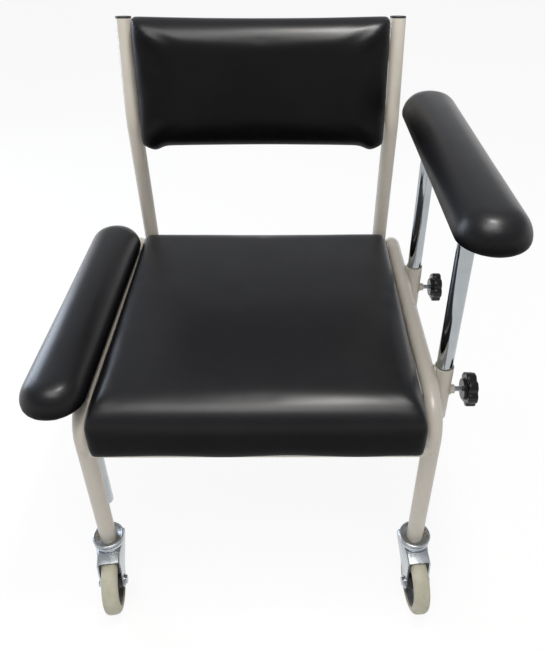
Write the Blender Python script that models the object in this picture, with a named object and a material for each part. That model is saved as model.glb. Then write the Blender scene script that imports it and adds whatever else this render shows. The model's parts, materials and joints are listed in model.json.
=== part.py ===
"""Mobile patient chair: bent-tube side frames on swivel castors, a padded seat and back,
and two armrests that slide in clamp sockets. Metres, +Y to the back, +Z up, +X to the right as
seen from the front, which is how left and right are named. The origin is on the floor under the
middle of the chair. The right armrest is up and the left one down."""

import math

import bmesh
import bpy
from mathutils import Matrix, Vector

# Clearances
GAP = 0.0003               # left between faces that touch
TURN_GAP = 0.0005          # between a wheel hub and its fork

# Round tube of the frame
TUBE_OD = 0.0254
TUBE_WALL = 0.0015
TUBE_SIDES = 16
BEND_STEPS = 6

# Side frames and the rails between them
LEG_HALF_SPACING = 0.2435  # chair centre to leg axis
WHEELBASE = 0.490
RAIL_HEIGHT = 0.3915       # centreline of the side rail
BEND_RADIUS = 0.053
CROSS_RAIL_DROP = 0.068    # of the cross rails' axis below the side rails'
BEARER_WIDTH = 0.030
BEARER_HEIGHT = 0.010
BEARER_WALL = 0.0015
BEARER_INSET = 0.1035      # from the legs' axis
BEARER_OVERHANG = 0.008    # past the axis of each cross rail

# Back uprights
UPRIGHT_LOWER_LEAN = math.radians(4.0)   # forwards, from the seat up to the bend
UPRIGHT_UPPER_LEAN = math.radians(8.5)   # backwards, from the bend up
UPRIGHT_FOOT_DROP = 0.016                # below the rear cross rail's axis
UPRIGHT_BEND_RISE = 0.3145               # of the bend over that axis
UPRIGHT_BEND_RADIUS = 0.120
UPRIGHT_TOP_RISE = 0.159                 # of the tube's end over the bend
CAP_THICKNESS = 0.003
CAP_PLUG = 0.012

# Seat
SEAT_SIDE_CLEARANCE = 0.0008   # to each side rail
SEAT_REAR_CLEARANCE = 0.0021   # to the uprights, at the height of its upper edge
SEAT_OVERHANG = 0.0375     # in front of the front legs' axis
SEAT_EDGE_HEIGHT = 0.075
SEAT_CROWN = 0.007
SEAT_EDGE_RADIUS = 0.026   # of the front roll
SEAT_ROLL_SHARE = 0.45     # of that radius, across the side and rear edges
SEAT_CORNER_RADIUS = 0.020
SEAT_BOW = 0.002
SEAT_FRONT_DROP = 0.005
SEAT_BOARD_THICKNESS = 0.012

# Back rest
BACK_SIDE_CLEARANCE = 0.0015   # to each upright
BACK_HEIGHT = 0.200
BACK_THICKNESS = 0.044
BACK_CROWN = 0.005
BACK_EDGE_RADIUS = 0.026
BACK_CORNER_RADIUS = 0.024
BACK_BOW_SIDE = 0.0015
BACK_BOW_END = 0.004
BACK_TOP_RISE = 0.002          # of the cushion's top over the tube's end
BACK_BOARD_THICKNESS = 0.009
STRAP_HEIGHT = 0.030
STRAP_THICKNESS = 0.004
STRAP_HALF_SPACING = 0.050

# Upholstery shared by the seat and the back
HEM_WIDTH = 0.012          # turned under, from the cushion's side to its board
HEM_RADIUS = 0.006
LEAST_CORNER = 0.004       # of an outline drawn in from the side

# Armrests and their sockets
SOCKET_OD = 0.028
SOCKET_LENGTH = 0.098
SOCKET_RISE = 0.0085       # of its top over the side rail's axis
SOCKET_FRONT = 0.088       # behind the front legs' axis
SOCKET_SPACING = 0.271
POST_OD = 0.024
POST_WALL = 0.0015
POST_LENGTH = 0.303
POST_PLAY = 0.0003         # radial, in the socket
POST_GRIP = 0.009          # of a raised post, below its clamp screw's axis
PLATE_WIDTH = 0.030
PLATE_THICKNESS = 0.005
PLATE_END = 0.022          # past each post's axis
PAD_LENGTH = 0.480
PAD_WIDTH = 0.090
PAD_THICKNESS = 0.0435
PAD_UNDER_RADIUS = 0.008
PAD_SIDE_HEIGHT = 0.002    # upright, between the rolls over and under it
PAD_CROWN = 0.003
PAD_OUTSET = 0.002         # outboard of the posts
PAD_BACKSET = -0.0165      # behind the middle of the posts

# Clamp screws
CLAMP_DROP = 0.046         # below the socket's top
STUD_RADIUS = 0.004
STUD_CLEARANCE = 0.0003
NUT_ACROSS_FLATS = 0.013
NUT_HEIGHT = 0.0065
KNOB_RADIUS = 0.026
KNOB_LOBES = 7
KNOB_LOBE_DEPTH = 0.0035
KNOB_THICKNESS = 0.019
KNOB_STANDOFF = 0.011      # bare stud between nut and knob
KNOB_HOLE_DEPTH = 0.010
KNOB_BOSS_RADIUS = 0.017
KNOB_BOSS_HEIGHT = 0.0045

# Castors
CASTOR_HEIGHT = 0.1185     # floor to the end of the leg
WHEEL_RADIUS = 0.050
TYRE_WIDTH = 0.025
TYRE_DEPTH = 0.012
TYRE_SIDES = 24
TRAIL = 0.034              # axle behind the swivel axis
HUB_RIM_WIDTH = 0.021
HUB_WEB = 0.008
HUB_BOSS_RADIUS = 0.011
AXLE_RADIUS = 0.005
AXLE_CLEARANCE = 0.0003
AXLE_HEAD_FLATS = 0.013
AXLE_HEAD_HEIGHT = 0.004
FORK_WIDTH = 0.036
FORK_SHEET = 0.0022
FORK_TOP = 0.1085
FORK_FLAT = 0.024          # swivel axis to where the visor starts to fall
FORK_VISOR = 0.015         # visor's length over the tyre
FORK_VISOR_DROP = 0.0043
FORK_BACK = 0.021          # swivel axis to the other edge
FORK_BACK_DEPTH = 0.015    # of the cheeks at that edge
FORK_EYE_RADIUS = 0.0115
FORK_BEND = 0.004          # outside radius between top and cheeks
FORK_FLARE = 0.0045        # of each cheek's top, behind the visor
FORK_FLARE_DEPTH = 0.050   # of the flare below the fork's top
RACE_RADIUS = 0.0235
RACE_TOP = 0.116
HEAD_RADIUS = 0.0245
HEAD_RIM_TOP = 0.125
HEAD_DISH_RADIUS = 0.0195
KINGPIN_RADIUS = 0.006
RIVET_RADIUS = 0.0095
RIVET_HEIGHT = 0.0045
STEM_LENGTH = 0.045
SWIVEL_SIDES = 16

# Brake pedals of the rear castors
PEDAL_LENGTH = 0.058       # in front of the fork
PEDAL_SHEET = 0.0022
PEDAL_SLOPE = math.radians(4.5)
PEDAL_LIFT = 0.006         # of the pedal plate over the tyre
PEDAL_PIVOT_RADIUS = 0.0025
PEDAL_PIVOT_DROP = 0.0145  # below the fork's top
PEDAL_PIVOT_BACK = 0.0085  # behind the edge of the visor
PEDAL_EAR_RADIUS = 0.006

# How each castor stands at rest, turned about its swivel axis
SWIVEL_REST = {
    "front_left": math.radians(8.0),
    "front_right": math.radians(5.0),
    "rear_left": math.radians(6.0),
    "rear_right": math.radians(6.0),
}

# Derived places
TUBE_R = TUBE_OD / 2
TUBE_BORE = TUBE_R - TUBE_WALL
FRONT_Y = (TRAIL + WHEEL_RADIUS - WHEELBASE - HEAD_RADIUS) / 2
REAR_Y = FRONT_Y + WHEELBASE
CROSS_RAIL_HEIGHT = RAIL_HEIGHT - CROSS_RAIL_DROP
UPRIGHT_X = LEG_HALF_SPACING - TUBE_OD - GAP
UPRIGHT_BEND_HEIGHT = CROSS_RAIL_HEIGHT + UPRIGHT_BEND_RISE
UPRIGHT_TOP = UPRIGHT_BEND_HEIGHT + UPRIGHT_TOP_RISE
SOCKET_TOP = RAIL_HEIGHT + SOCKET_RISE
SOCKET_R = SOCKET_OD / 2
SOCKET_X = LEG_HALF_SPACING + TUBE_R + GAP + SOCKET_R
SOCKET_YS = {"front": FRONT_Y + SOCKET_FRONT, "rear": FRONT_Y + SOCKET_FRONT + SOCKET_SPACING}
ARM_Y = sum(SOCKET_YS.values()) / 2
ARM_TRAVEL = POST_LENGTH - CLAMP_DROP - POST_GRIP
PAD_TOP_RADIUS = PAD_THICKNESS - PAD_UNDER_RADIUS - PAD_SIDE_HEIGHT
BEARER_HALF_SPACING = LEG_HALF_SPACING - BEARER_INSET
BEARER_BOTTOM = CROSS_RAIL_HEIGHT + TUBE_R + GAP
SEAT_BOTTOM = BEARER_BOTTOM + BEARER_HEIGHT + GAP
SEAT_HALF_WIDTH = LEG_HALF_SPACING - TUBE_R - SEAT_SIDE_CLEARANCE
SEAT_EDGE_RISE = SEAT_BOTTOM + SEAT_EDGE_HEIGHT - CROSS_RAIL_HEIGHT
UPRIGHT_FRONT = (REAR_Y - (TUBE_OD + GAP + TUBE_R) / math.cos(UPRIGHT_LOWER_LEAN)
                 - SEAT_EDGE_RISE * math.tan(UPRIGHT_LOWER_LEAN))
SEAT_DEPTH = UPRIGHT_FRONT - SEAT_REAR_CLEARANCE - FRONT_Y + SEAT_OVERHANG
SEAT_Y = FRONT_Y - SEAT_OVERHANG + SEAT_DEPTH / 2
SIDES = {"left": -1, "right": 1}

# Finishes: colour, metallic, roughness
FINISHES = {
    "frame_paint": ((0.50, 0.46, 0.40), 0.0, 0.35),
    "black_vinyl": ((0.010, 0.010, 0.012), 0.0, 0.45),
    "chrome": ((0.80, 0.81, 0.83), 1.0, 0.08),
    "zinc": ((0.62, 0.66, 0.70), 1.0, 0.28),
    "black_plastic": ((0.012, 0.012, 0.013), 0.0, 0.22),
    "tyre_rubber": ((0.42, 0.40, 0.33), 0.0, 0.70),
    "plywood": ((0.46, 0.33, 0.20), 0.0, 0.65),
}


def clear_scene():
    for found in list(bpy.data.objects):
        bpy.data.objects.remove(found, do_unlink=True)


def finish(name):
    made = bpy.data.materials.get(name)
    if made is None:
        colour, metallic, roughness = FINISHES[name]
        made = bpy.data.materials.new(name)
        made.use_nodes = True
        shader = made.node_tree.nodes["Principled BSDF"]
        shader.inputs["Base Color"].default_value = (*colour, 1.0)
        shader.inputs["Metallic"].default_value = metallic
        shader.inputs["Roughness"].default_value = roughness
    return made


def empty(name, location, rotation=(0.0, 0.0, 0.0), parent=None):
    made = bpy.data.objects.new(name, None)
    made.location = location
    made.rotation_euler = rotation
    made.parent = parent
    bpy.context.collection.objects.link(made)
    return made


def solid(name, bm, material, location=(0.0, 0.0, 0.0), rotation=(0.0, 0.0, 0.0), parent=None):
    """A named object from a closed bmesh, with its faces turned outwards."""
    bmesh.ops.recalc_face_normals(bm, faces=bm.faces)
    mesh = bpy.data.meshes.new(name)
    bm.to_mesh(mesh)
    bm.free()
    mesh.shade_smooth()
    mesh.set_sharp_from_angle(angle=math.radians(35))
    if material:
        mesh.materials.append(finish(material))
    made = bpy.data.objects.new(name, mesh)
    made.location = location
    made.rotation_euler = rotation
    made.parent = parent
    bpy.context.collection.objects.link(made)
    return made


def tool(target, name, bm, operation="DIFFERENCE", location=(0.0, 0.0, 0.0), rotation=(0.0, 0.0, 0.0)):
    """Cut target with a hidden solid in target's own frame, or join the two."""
    cutter = solid(name, bm, None, location, rotation, target)
    cutter.hide_render = True
    cutter.display_type = "WIRE"
    boolean = target.modifiers.new(name, "BOOLEAN")
    boolean.operation = operation
    boolean.solver = "EXACT"
    boolean.object = cutter


def loft(rings, closed=False, first_fan=None, last_fan=None):
    """Bridge rings of equal point counts. A closed loft joins its last ring to its first;
    an open one ends in flat faces, or in fans to the points given."""
    bm = bmesh.new()
    loops = [[bm.verts.new(point) for point in ring] for ring in rings]
    pairs = list(zip(loops, loops[1:]))
    if closed:
        pairs.append((loops[-1], loops[0]))
    for lower, upper in pairs:
        count = len(lower)
        for index in range(count):
            after = (index + 1) % count
            bm.faces.new((lower[index], lower[after], upper[after], upper[index]))
    if not closed:
        for loop, fan in ((loops[0], first_fan), (loops[-1], last_fan)):
            if fan is None:
                bm.faces.new(loop)
                continue
            centre = bm.verts.new(fan)
            for index, point in enumerate(loop):
                bm.faces.new((point, loop[(index + 1) % len(loop)], centre))
    return bm


def circle(radius, height, sides, phase=0.0):
    turns = [phase + 2 * math.pi * step / sides for step in range(sides)]
    return [Vector((radius * math.cos(turn), radius * math.sin(turn), height)) for turn in turns]


def turned(profile, sides, closed=False, phase=0.0):
    """A solid of revolution about Z from (radius, height) points; closed for a ring."""
    return loft([circle(radius, height, sides, phase) for radius, height in profile], closed)


def rod(radius, low, high, sides):
    return turned([(radius, low), (radius, high)], sides)


def pipe(outer, inner, low, high, sides):
    return turned([(outer, low), (outer, high), (inner, high), (inner, low)], sides, closed=True)


def prism(outline, half_width):
    """An outline of (y, z) points run along X to both sides."""
    return loft([[Vector((x, y, z)) for y, z in outline] for x in (-half_width, half_width)])


def column(plan, low, high):
    """A plan outline of (x, y) points run up from one height to another."""
    return loft([[Vector((x, y, z)) for x, y in plan] for z in (low, high)])


def block(low, high):
    outline = [(low[1], low[2]), (high[1], low[2]), (high[1], high[2]), (low[1], high[2])]
    return loft([[Vector((x, y, z)) for y, z in outline] for x in (low[0], high[0])])


def arc(centre, radius, start, end, steps):
    turns = [start + (end - start) * step / steps for step in range(steps + 1)]
    return [(centre[0] + radius * math.cos(turn), centre[1] + radius * math.sin(turn)) for turn in turns]


def bent_path(corners, radius, steps):
    """Points and tangents along straight runs in the YZ plane with round bends between them."""
    path = []
    corners = [Vector(corner) for corner in corners]
    path.append((corners[0], (corners[1] - corners[0]).normalized()))
    for before, corner, after in zip(corners, corners[1:], corners[2:]):
        arriving = (corner - before).normalized()
        leaving = (after - corner).normalized()
        angle = arriving.angle(leaving)
        turn_side = 1 if arriving.cross(leaving) > 0 else -1
        reach = radius * math.tan(angle / 2)
        start = corner - arriving * reach
        centre = start + turn_side * radius * Vector((-arriving.y, arriving.x))
        for step in range(steps + 1):
            spun = Matrix.Rotation(turn_side * angle * step / steps, 2)
            path.append((centre + spun @ (start - centre), spun @ arriving))
    path.append((corners[-1], (corners[-1] - corners[-2]).normalized()))
    return path


def bent_tube(path, outer, inner, sides):
    """A hollow tube along a path in the YZ plane."""
    def ring(radius, centre, tangent):
        across = Vector((0.0, -tangent.y, tangent.x))
        return [
            Vector((0.0, centre.x, centre.y)) + point.x * Vector((1, 0, 0)) + point.y * across
            for point in circle(radius, 0.0, sides)
        ]
    outside = [ring(outer, *place) for place in path]
    inside = [ring(inner, *place) for place in reversed(path)]
    return loft(outside + inside, closed=True)


def rounded_outline(half_w, half_d, corner, bow_w, bow_d, corner_steps=3, side_steps=4):
    """A rounded rectangle whose sides are drawn in between its corners."""
    points = []
    for quarter, (sx, sy) in enumerate(((1, 1), (-1, 1), (-1, -1), (1, -1))):
        centre = (sx * (half_w - corner), sy * (half_d - corner))
        start = quarter * math.pi / 2
        points += arc(centre, corner, start, start + math.pi / 2, corner_steps)
    drawn = []
    for index, (x, y) in enumerate(points):
        drawn.append((x, y))
        after = points[(index + 1) % len(points)]
        if (index + 1) % (corner_steps + 1) == 0:
            for step in range(1, side_steps):
                share = step / side_steps
                drawn.append((x + (after[0] - x) * share, y + (after[1] - y) * share))
    bowed = []
    for x, y in drawn:
        pull_w = bow_w * (1 - min(1.0, abs(y) / half_d) ** 2) / half_w
        pull_d = bow_d * (1 - min(1.0, abs(x) / half_w) ** 2) / half_d
        bowed.append((x * (1 - pull_w), y * (1 - pull_d)))
    return bowed


def stadium(length, width, inset, end_steps=8):
    """A straight-sided outline with round ends, along Y."""
    radius = width / 2 - inset
    middle = (length - width) / 2
    return arc((0, middle), radius, 0, math.pi, end_steps) + arc(
        (0, -middle), radius, math.pi, 2 * math.pi, end_steps)


def rolled_edge(height, radius, steps):
    """Heights and insets round the upper edge of a pad, from its side to its top."""
    turns = [math.pi / 2 * step / steps for step in range(steps + 1)]
    return [(height - radius + radius * math.sin(t), radius * (1 - math.cos(t))) for t in turns]


def cushion(half_w, half_d, edge_height, edge_radius, corner, bow_w, bow_d, crown, board,
            drop=0.0, roll_share=1.0):
    """A crowned cushion over a board let into its underside, standing on its hem at height 0.
    The roll of its front edge can be wider than that of its sides and rear."""
    front_reach = 0.30     # share of the half depth over which the front edge falls

    def ring(height, inset, share=1.0, rise=0.0, fall=0.0, narrow=1.0):
        side = inset * narrow
        shift = (inset - side) / 2
        outline = rounded_outline(
            half_w - side, half_d - side - shift, max(corner - side, LEAST_CORNER), bow_w, bow_d)
        made = []
        for x, y in outline:
            x, y = x * share, (y + shift) * share
            swell = (1 - (x / half_w) ** 2) * (1 - (y / half_d) ** 2)
            nose = max(0.0, (-y / half_d - 1 + front_reach) / front_reach) ** 2
            made.append(Vector((x, y, height + rise * swell - fall * nose)))
        return made

    pocket = board + GAP
    rings = [ring(pocket, HEM_WIDTH), ring(0.0, HEM_WIDTH), ring(0.0, HEM_RADIUS)]
    rings += [ring(HEM_RADIUS * 0.3, HEM_RADIUS * 0.3), ring(HEM_RADIUS, 0.0)]
    rolled = rolled_edge(edge_height, edge_radius, 4)
    rings += [ring(height, inset, fall=drop, narrow=roll_share) for height, inset in rolled[:-1]]
    top, inset = rolled[-1]
    rings += [ring(top, inset, share, crown, drop, roll_share) for share in (1.0, 0.85, 0.6, 0.3)]
    return loft(rings, first_fan=(0, 0, pocket), last_fan=(0, 0, top + crown))


def cushion_board(half_w, half_d, thickness, corner, bow_w, bow_d):
    inset = HEM_WIDTH + GAP
    outline = rounded_outline(
        half_w - inset, half_d - inset, max(corner - inset, LEAST_CORNER), bow_w, bow_d)
    return column(outline, 0.0, thickness)


def hex_ring(across_flats, height, sides=12):
    """Twelve points on a hexagon: its corners and the middles of its flats."""
    flat = across_flats / 2
    radii = [flat / math.cos(math.pi / 6), flat] * (sides // 2)
    return [
        Vector((radius * math.cos(turn), radius * math.sin(turn), height))
        for radius, turn in zip(radii, [2 * math.pi * step / sides for step in range(sides)])
    ]


# Frame

def make_side_frames():
    foot = CASTOR_HEIGHT + GAP
    corners = [(FRONT_Y, foot), (FRONT_Y, RAIL_HEIGHT), (REAR_Y, RAIL_HEIGHT), (REAR_Y, foot)]
    path = bent_path(corners, BEND_RADIUS, BEND_STEPS)
    for side, sign in SIDES.items():
        solid(f"{side}_side_frame", bent_tube(path, TUBE_R, TUBE_BORE, TUBE_SIDES),
              "frame_paint", (sign * LEG_HALF_SPACING, 0, 0))


def make_cross_rails():
    """Rails between the legs, their ends coped to the legs' round."""
    reach = LEG_HALF_SPACING
    for end, y in (("front", FRONT_Y), ("rear", REAR_Y)):
        rail = solid(f"{end}_cross_rail", pipe(TUBE_R, TUBE_BORE, -reach, reach, TUBE_SIDES),
                     "frame_paint", (0, y, CROSS_RAIL_HEIGHT), (0, math.pi / 2, 0))
        for side, sign in SIDES.items():
            tool(rail, f"cope_{end}_{side}", rod(TUBE_R + GAP, -TUBE_OD, TUBE_OD, TUBE_SIDES),
                 location=(0, 0, sign * reach), rotation=(0, math.pi / 2, 0))


def make_seat_bearers():
    """Flat tubes that lie on both cross rails and carry the seat board."""
    half_w = BEARER_WIDTH / 2
    half_h = BEARER_HEIGHT / 2
    reach = WHEELBASE / 2 + BEARER_OVERHANG
    corners = [(1, 1), (-1, 1), (-1, -1), (1, -1)]
    places = ((0, -reach), (0, reach), (BEARER_WALL, reach), (BEARER_WALL, -reach))
    for side, sign in SIDES.items():
        rings = [[Vector((x * (half_w - inset), y, z * (half_h - inset))) for x, z in corners]
                 for inset, y in places]
        solid(f"{side}_seat_bearer", loft(rings, closed=True), "frame_paint",
              (sign * BEARER_HALF_SPACING, (FRONT_Y + REAR_Y) / 2, BEARER_BOTTOM + half_h))


def upright_corners():
    """Foot, bend and top of an upright's axis, touching the front of the rear cross rail."""
    lower = Vector((-math.sin(UPRIGHT_LOWER_LEAN), math.cos(UPRIGHT_LOWER_LEAN)))
    forward = Vector((-lower.y, lower.x))
    beside_rail = Vector((REAR_Y, CROSS_RAIL_HEIGHT)) + forward * (TUBE_OD + GAP)
    foot = beside_rail - lower * UPRIGHT_FOOT_DROP
    bend = foot + lower * ((UPRIGHT_BEND_HEIGHT - foot.y) / lower.y)
    upper = Vector((math.sin(UPRIGHT_UPPER_LEAN), math.cos(UPRIGHT_UPPER_LEAN)))
    top = bend + upper * ((UPRIGHT_TOP - bend.y) / upper.y)
    return foot, bend, top


def make_uprights():
    foot, bend, top = upright_corners()
    path = bent_path([foot, bend, top], UPRIGHT_BEND_RADIUS, 4)
    plug = TUBE_BORE - GAP
    cap = [(plug, -CAP_PLUG), (plug, GAP), (TUBE_R, GAP), (TUBE_R, CAP_THICKNESS * 0.7),
           (TUBE_R - CAP_THICKNESS * 0.4, CAP_THICKNESS)]
    for side, sign in SIDES.items():
        x = sign * UPRIGHT_X
        solid(f"{side}_back_upright", bent_tube(path, TUBE_R, TUBE_BORE, TUBE_SIDES),
              "frame_paint", (x, 0, 0))
        solid(f"{side}_upright_cap", turned(cap, TUBE_SIDES), "black_plastic",
              (x, top.x, top.y), (-UPRIGHT_UPPER_LEAN, 0, 0))


# Seat and back

def make_seat():
    place = (0, SEAT_Y, SEAT_BOTTOM)
    half_d = SEAT_DEPTH / 2
    solid("seat_board", cushion_board(SEAT_HALF_WIDTH, half_d, SEAT_BOARD_THICKNESS,
                                      SEAT_CORNER_RADIUS, SEAT_BOW, SEAT_BOW), "plywood", place)
    solid("seat_cushion", cushion(SEAT_HALF_WIDTH, half_d, SEAT_EDGE_HEIGHT, SEAT_EDGE_RADIUS,
                                  SEAT_CORNER_RADIUS, SEAT_BOW, SEAT_BOW, SEAT_CROWN,
                                  SEAT_BOARD_THICKNESS, SEAT_FRONT_DROP, SEAT_ROLL_SHARE),
          "black_vinyl", place)


def make_back():
    """Cushion and board in front of two straps that join the uprights. Local Y runs up the
    back and local Z forwards, from the straps' middle plane."""
    _, _, top = upright_corners()
    upper = Vector((0, math.sin(UPRIGHT_UPPER_LEAN), math.cos(UPRIGHT_UPPER_LEAN)))
    half_h = BACK_HEIGHT / 2
    centre = Vector((0, top.x, top.y)) + upper * (BACK_TOP_RISE - half_h)
    turn = math.pi / 2 - UPRIGHT_UPPER_LEAN
    back = empty("back_rest", centre, (turn, 0, 0))
    half_gap = UPRIGHT_X - TUBE_R
    half_w = half_gap - BACK_SIDE_CLEARANCE
    seat_plane = STRAP_THICKNESS / 2 + GAP
    solid("back_board", cushion_board(half_w, half_h, BACK_BOARD_THICKNESS, BACK_CORNER_RADIUS,
                                      BACK_BOW_SIDE, BACK_BOW_END), "plywood",
          (0, 0, seat_plane), parent=back)
    solid("back_cushion", cushion(half_w, half_h, BACK_THICKNESS, BACK_EDGE_RADIUS,
                                  BACK_CORNER_RADIUS, BACK_BOW_SIDE, BACK_BOW_END, BACK_CROWN,
                                  BACK_BOARD_THICKNESS), "black_vinyl",
          (0, 0, seat_plane), parent=back)
    reach = half_gap - GAP
    for level, sign in (("lower", -1), ("upper", 1)):
        middle = sign * STRAP_HALF_SPACING
        low = (-reach, middle - STRAP_HEIGHT / 2, -STRAP_THICKNESS / 2)
        high = (reach, middle + STRAP_HEIGHT / 2, STRAP_THICKNESS / 2)
        solid(f"{level}_back_strap", block(low, high), "frame_paint", parent=back)


# Armrests

def make_sockets():
    """Tubes on the outside of the side rails, each with a nut welded over its screw hole."""
    nut_end = SOCKET_R + NUT_HEIGHT
    hole = STUD_RADIUS + STUD_CLEARANCE
    for side, sign in SIDES.items():
        for end, y in SOCKET_YS.items():
            socket = solid(f"{side}_{end}_arm_socket", rod(SOCKET_R, -SOCKET_LENGTH, 0, TUBE_SIDES),
                           "frame_paint", (sign * SOCKET_X, y, SOCKET_TOP))
            outward = {"location": (0, 0, -CLAMP_DROP), "rotation": (0, sign * math.pi / 2, 0)}
            inside = SOCKET_R - NUT_ACROSS_FLATS / 3
            nut = loft([hex_ring(NUT_ACROSS_FLATS, inside), hex_ring(NUT_ACROSS_FLATS, nut_end)])
            tool(socket, f"nut_{side}_{end}", nut, "UNION", **outward)
            tool(socket, f"bore_{side}_{end}",
                 rod(POST_OD / 2 + POST_PLAY, -SOCKET_LENGTH * 1.5, SOCKET_LENGTH, TUBE_SIDES))
            tool(socket, f"screw_hole_{side}_{end}", rod(hole, 0, nut_end * 2, 12), **outward)


def pad_form():
    def ring(height, inset, rise=0.0):
        return [Vector((x, y, height + rise)) for x, y in stadium(PAD_LENGTH, PAD_WIDTH, inset)]

    under = PAD_UNDER_RADIUS
    rings = [ring(0, under), ring(under * 0.3, under * 0.3), ring(under, 0)]
    rings += [ring(height, inset) for height, inset in rolled_edge(PAD_THICKNESS, PAD_TOP_RADIUS, 5)]
    crest = PAD_WIDTH / 2 - (PAD_WIDTH / 2 - PAD_TOP_RADIUS) * 0.4
    rings.append(ring(PAD_THICKNESS, crest, PAD_CROWN))
    return loft(rings)


def make_armrests():
    lowered = SOCKET_TOP + GAP
    half_spacing = SOCKET_SPACING / 2
    plate_reach = half_spacing + PLATE_END
    for side, sign in SIDES.items():
        raised = ARM_TRAVEL if side == "right" else 0.0
        arm = empty(f"{side}_arm", (sign * SOCKET_X, ARM_Y, lowered + raised))
        outline = stadium(2 * plate_reach, PLATE_WIDTH, 0.0, 6)
        solid(f"{side}_armrest_plate", column(outline, 0, PLATE_THICKNESS), "frame_paint", parent=arm)
        solid(f"{side}_armrest_pad", pad_form(), "black_vinyl",
              (sign * PAD_OUTSET, PAD_BACKSET, PLATE_THICKNESS + GAP), parent=arm)
        for end, along in (("front", -half_spacing), ("rear", half_spacing)):
            post = pipe(POST_OD / 2, POST_OD / 2 - POST_WALL, -POST_LENGTH, -GAP, TUBE_SIDES)
            solid(f"{side}_{end}_arm_post", post, "chrome", (0, along, 0), parent=arm)


def knob_form():
    """A lobed hand knob from its hub face at height 0 to its crowned outer face."""
    points = KNOB_LOBES * 4
    hole = STUD_RADIUS + GAP
    root = KNOB_RADIUS - KNOB_LOBE_DEPTH

    def lobed(height, inset):
        made = []
        for index in range(points):
            turn = 2 * math.pi * (index + 0.5) / points
            radius = (KNOB_RADIUS if index % 4 < 2 else root) - inset
            made.append(Vector((radius * math.cos(turn), radius * math.sin(turn), height)))
        return made

    edge = KNOB_THICKNESS * 0.14
    rings = [circle(hole, KNOB_HOLE_DEPTH + GAP, points), circle(hole, 0, points)]
    rings += [circle(KNOB_BOSS_RADIUS, 0, points), circle(KNOB_BOSS_RADIUS, KNOB_BOSS_HEIGHT, points)]
    rings += [lobed(KNOB_BOSS_HEIGHT, edge), lobed(KNOB_BOSS_HEIGHT + edge, 0)]
    rings += [lobed(KNOB_THICKNESS - 1.6 * edge, 0), lobed(KNOB_THICKNESS - 0.5 * edge, edge)]
    rings.append(circle(root * 0.6, KNOB_THICKNESS, points))
    return loft(rings)


def make_clamp_screws():
    """Stud and knob on one axis through each socket; local Z points away from the chair."""
    knob_start = SOCKET_R + NUT_HEIGHT + KNOB_STANDOFF
    tip = POST_OD / 2 + GAP
    for side, sign in SIDES.items():
        for end, y in SOCKET_YS.items():
            axis = empty(f"{side}_{end}_clamp", (sign * SOCKET_X, y, SOCKET_TOP - CLAMP_DROP),
                         (0, sign * math.pi / 2, 0))
            stud = rod(STUD_RADIUS, tip, knob_start + KNOB_HOLE_DEPTH, 12)
            solid(f"{side}_{end}_clamp_stud", stud, "zinc", parent=axis)
            solid(f"{side}_{end}_clamp_knob", knob_form(), "black_plastic",
                  (0, 0, knob_start), parent=axis)


# Castors

def head_form():
    """Stem, dished cup with a rolled rim, and kingpin riveted under the fork."""
    under = RACE_TOP + GAP
    rivet_top = FORK_TOP - FORK_SHEET - GAP
    stem = TUBE_BORE - GAP
    rim = (HEAD_RIM_TOP - under) / 2
    profile = [
        (stem * 0.8, CASTOR_HEIGHT + STEM_LENGTH), (stem, CASTOR_HEIGHT + STEM_LENGTH * 0.93),
        (stem, CASTOR_HEIGHT), (HEAD_DISH_RADIUS - rim * 0.5, CASTOR_HEIGHT),
        (HEAD_DISH_RADIUS, HEAD_RIM_TOP - rim * 0.4), (HEAD_RADIUS - rim * 0.6, HEAD_RIM_TOP),
        (HEAD_RADIUS, under + rim), (HEAD_RADIUS - rim * 0.6, under),
        (KINGPIN_RADIUS, under), (KINGPIN_RADIUS, rivet_top), (RIVET_RADIUS, rivet_top),
        (RIVET_RADIUS * 0.7, rivet_top - RIVET_HEIGHT),
    ]
    return turned(profile, SWIVEL_SIDES)


def fork_outline():
    """Side view of the fork: flat top, falling visor, and cheeks down to the eye of the axle."""
    visor = (-FORK_FLAT - FORK_VISOR, FORK_TOP - FORK_VISOR_DROP)
    eye = arc((-TRAIL, WHEEL_RADIUS), FORK_EYE_RADIUS, math.pi, 2 * math.pi, 6)
    back = [(FORK_BACK, FORK_TOP - FORK_BACK_DEPTH), (FORK_BACK, FORK_TOP)]
    return [(-FORK_FLAT, FORK_TOP), visor] + eye + back


def cavity_outline():
    """Side view of the space in the fork, open in front, below and behind."""
    roof = FORK_TOP - FORK_SHEET
    fall = FORK_VISOR_DROP / FORK_VISOR
    reach = 2 * WHEEL_RADIUS
    front = (-reach, roof - fall * (reach - FORK_FLAT))
    return [(-FORK_FLAT, roof), front, (-reach, -reach), (reach, -reach), (reach, roof)]


def bent_over(bm, half_width, lowest, radius):
    """Round the long edges between a pressing's top and its cheeks."""
    edges = [
        edge for edge in bm.edges
        if all(point.co.z > lowest for point in edge.verts)
        and abs(sum(point.co.x for point in edge.verts)) > 1.9 * half_width
        and abs(edge.verts[0].co.y - edge.verts[1].co.y) > GAP
    ]
    bmesh.ops.bevel(bm, geom=edges, offset=radius, segments=2, profile=0.5, affect="EDGES")
    return bm


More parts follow.
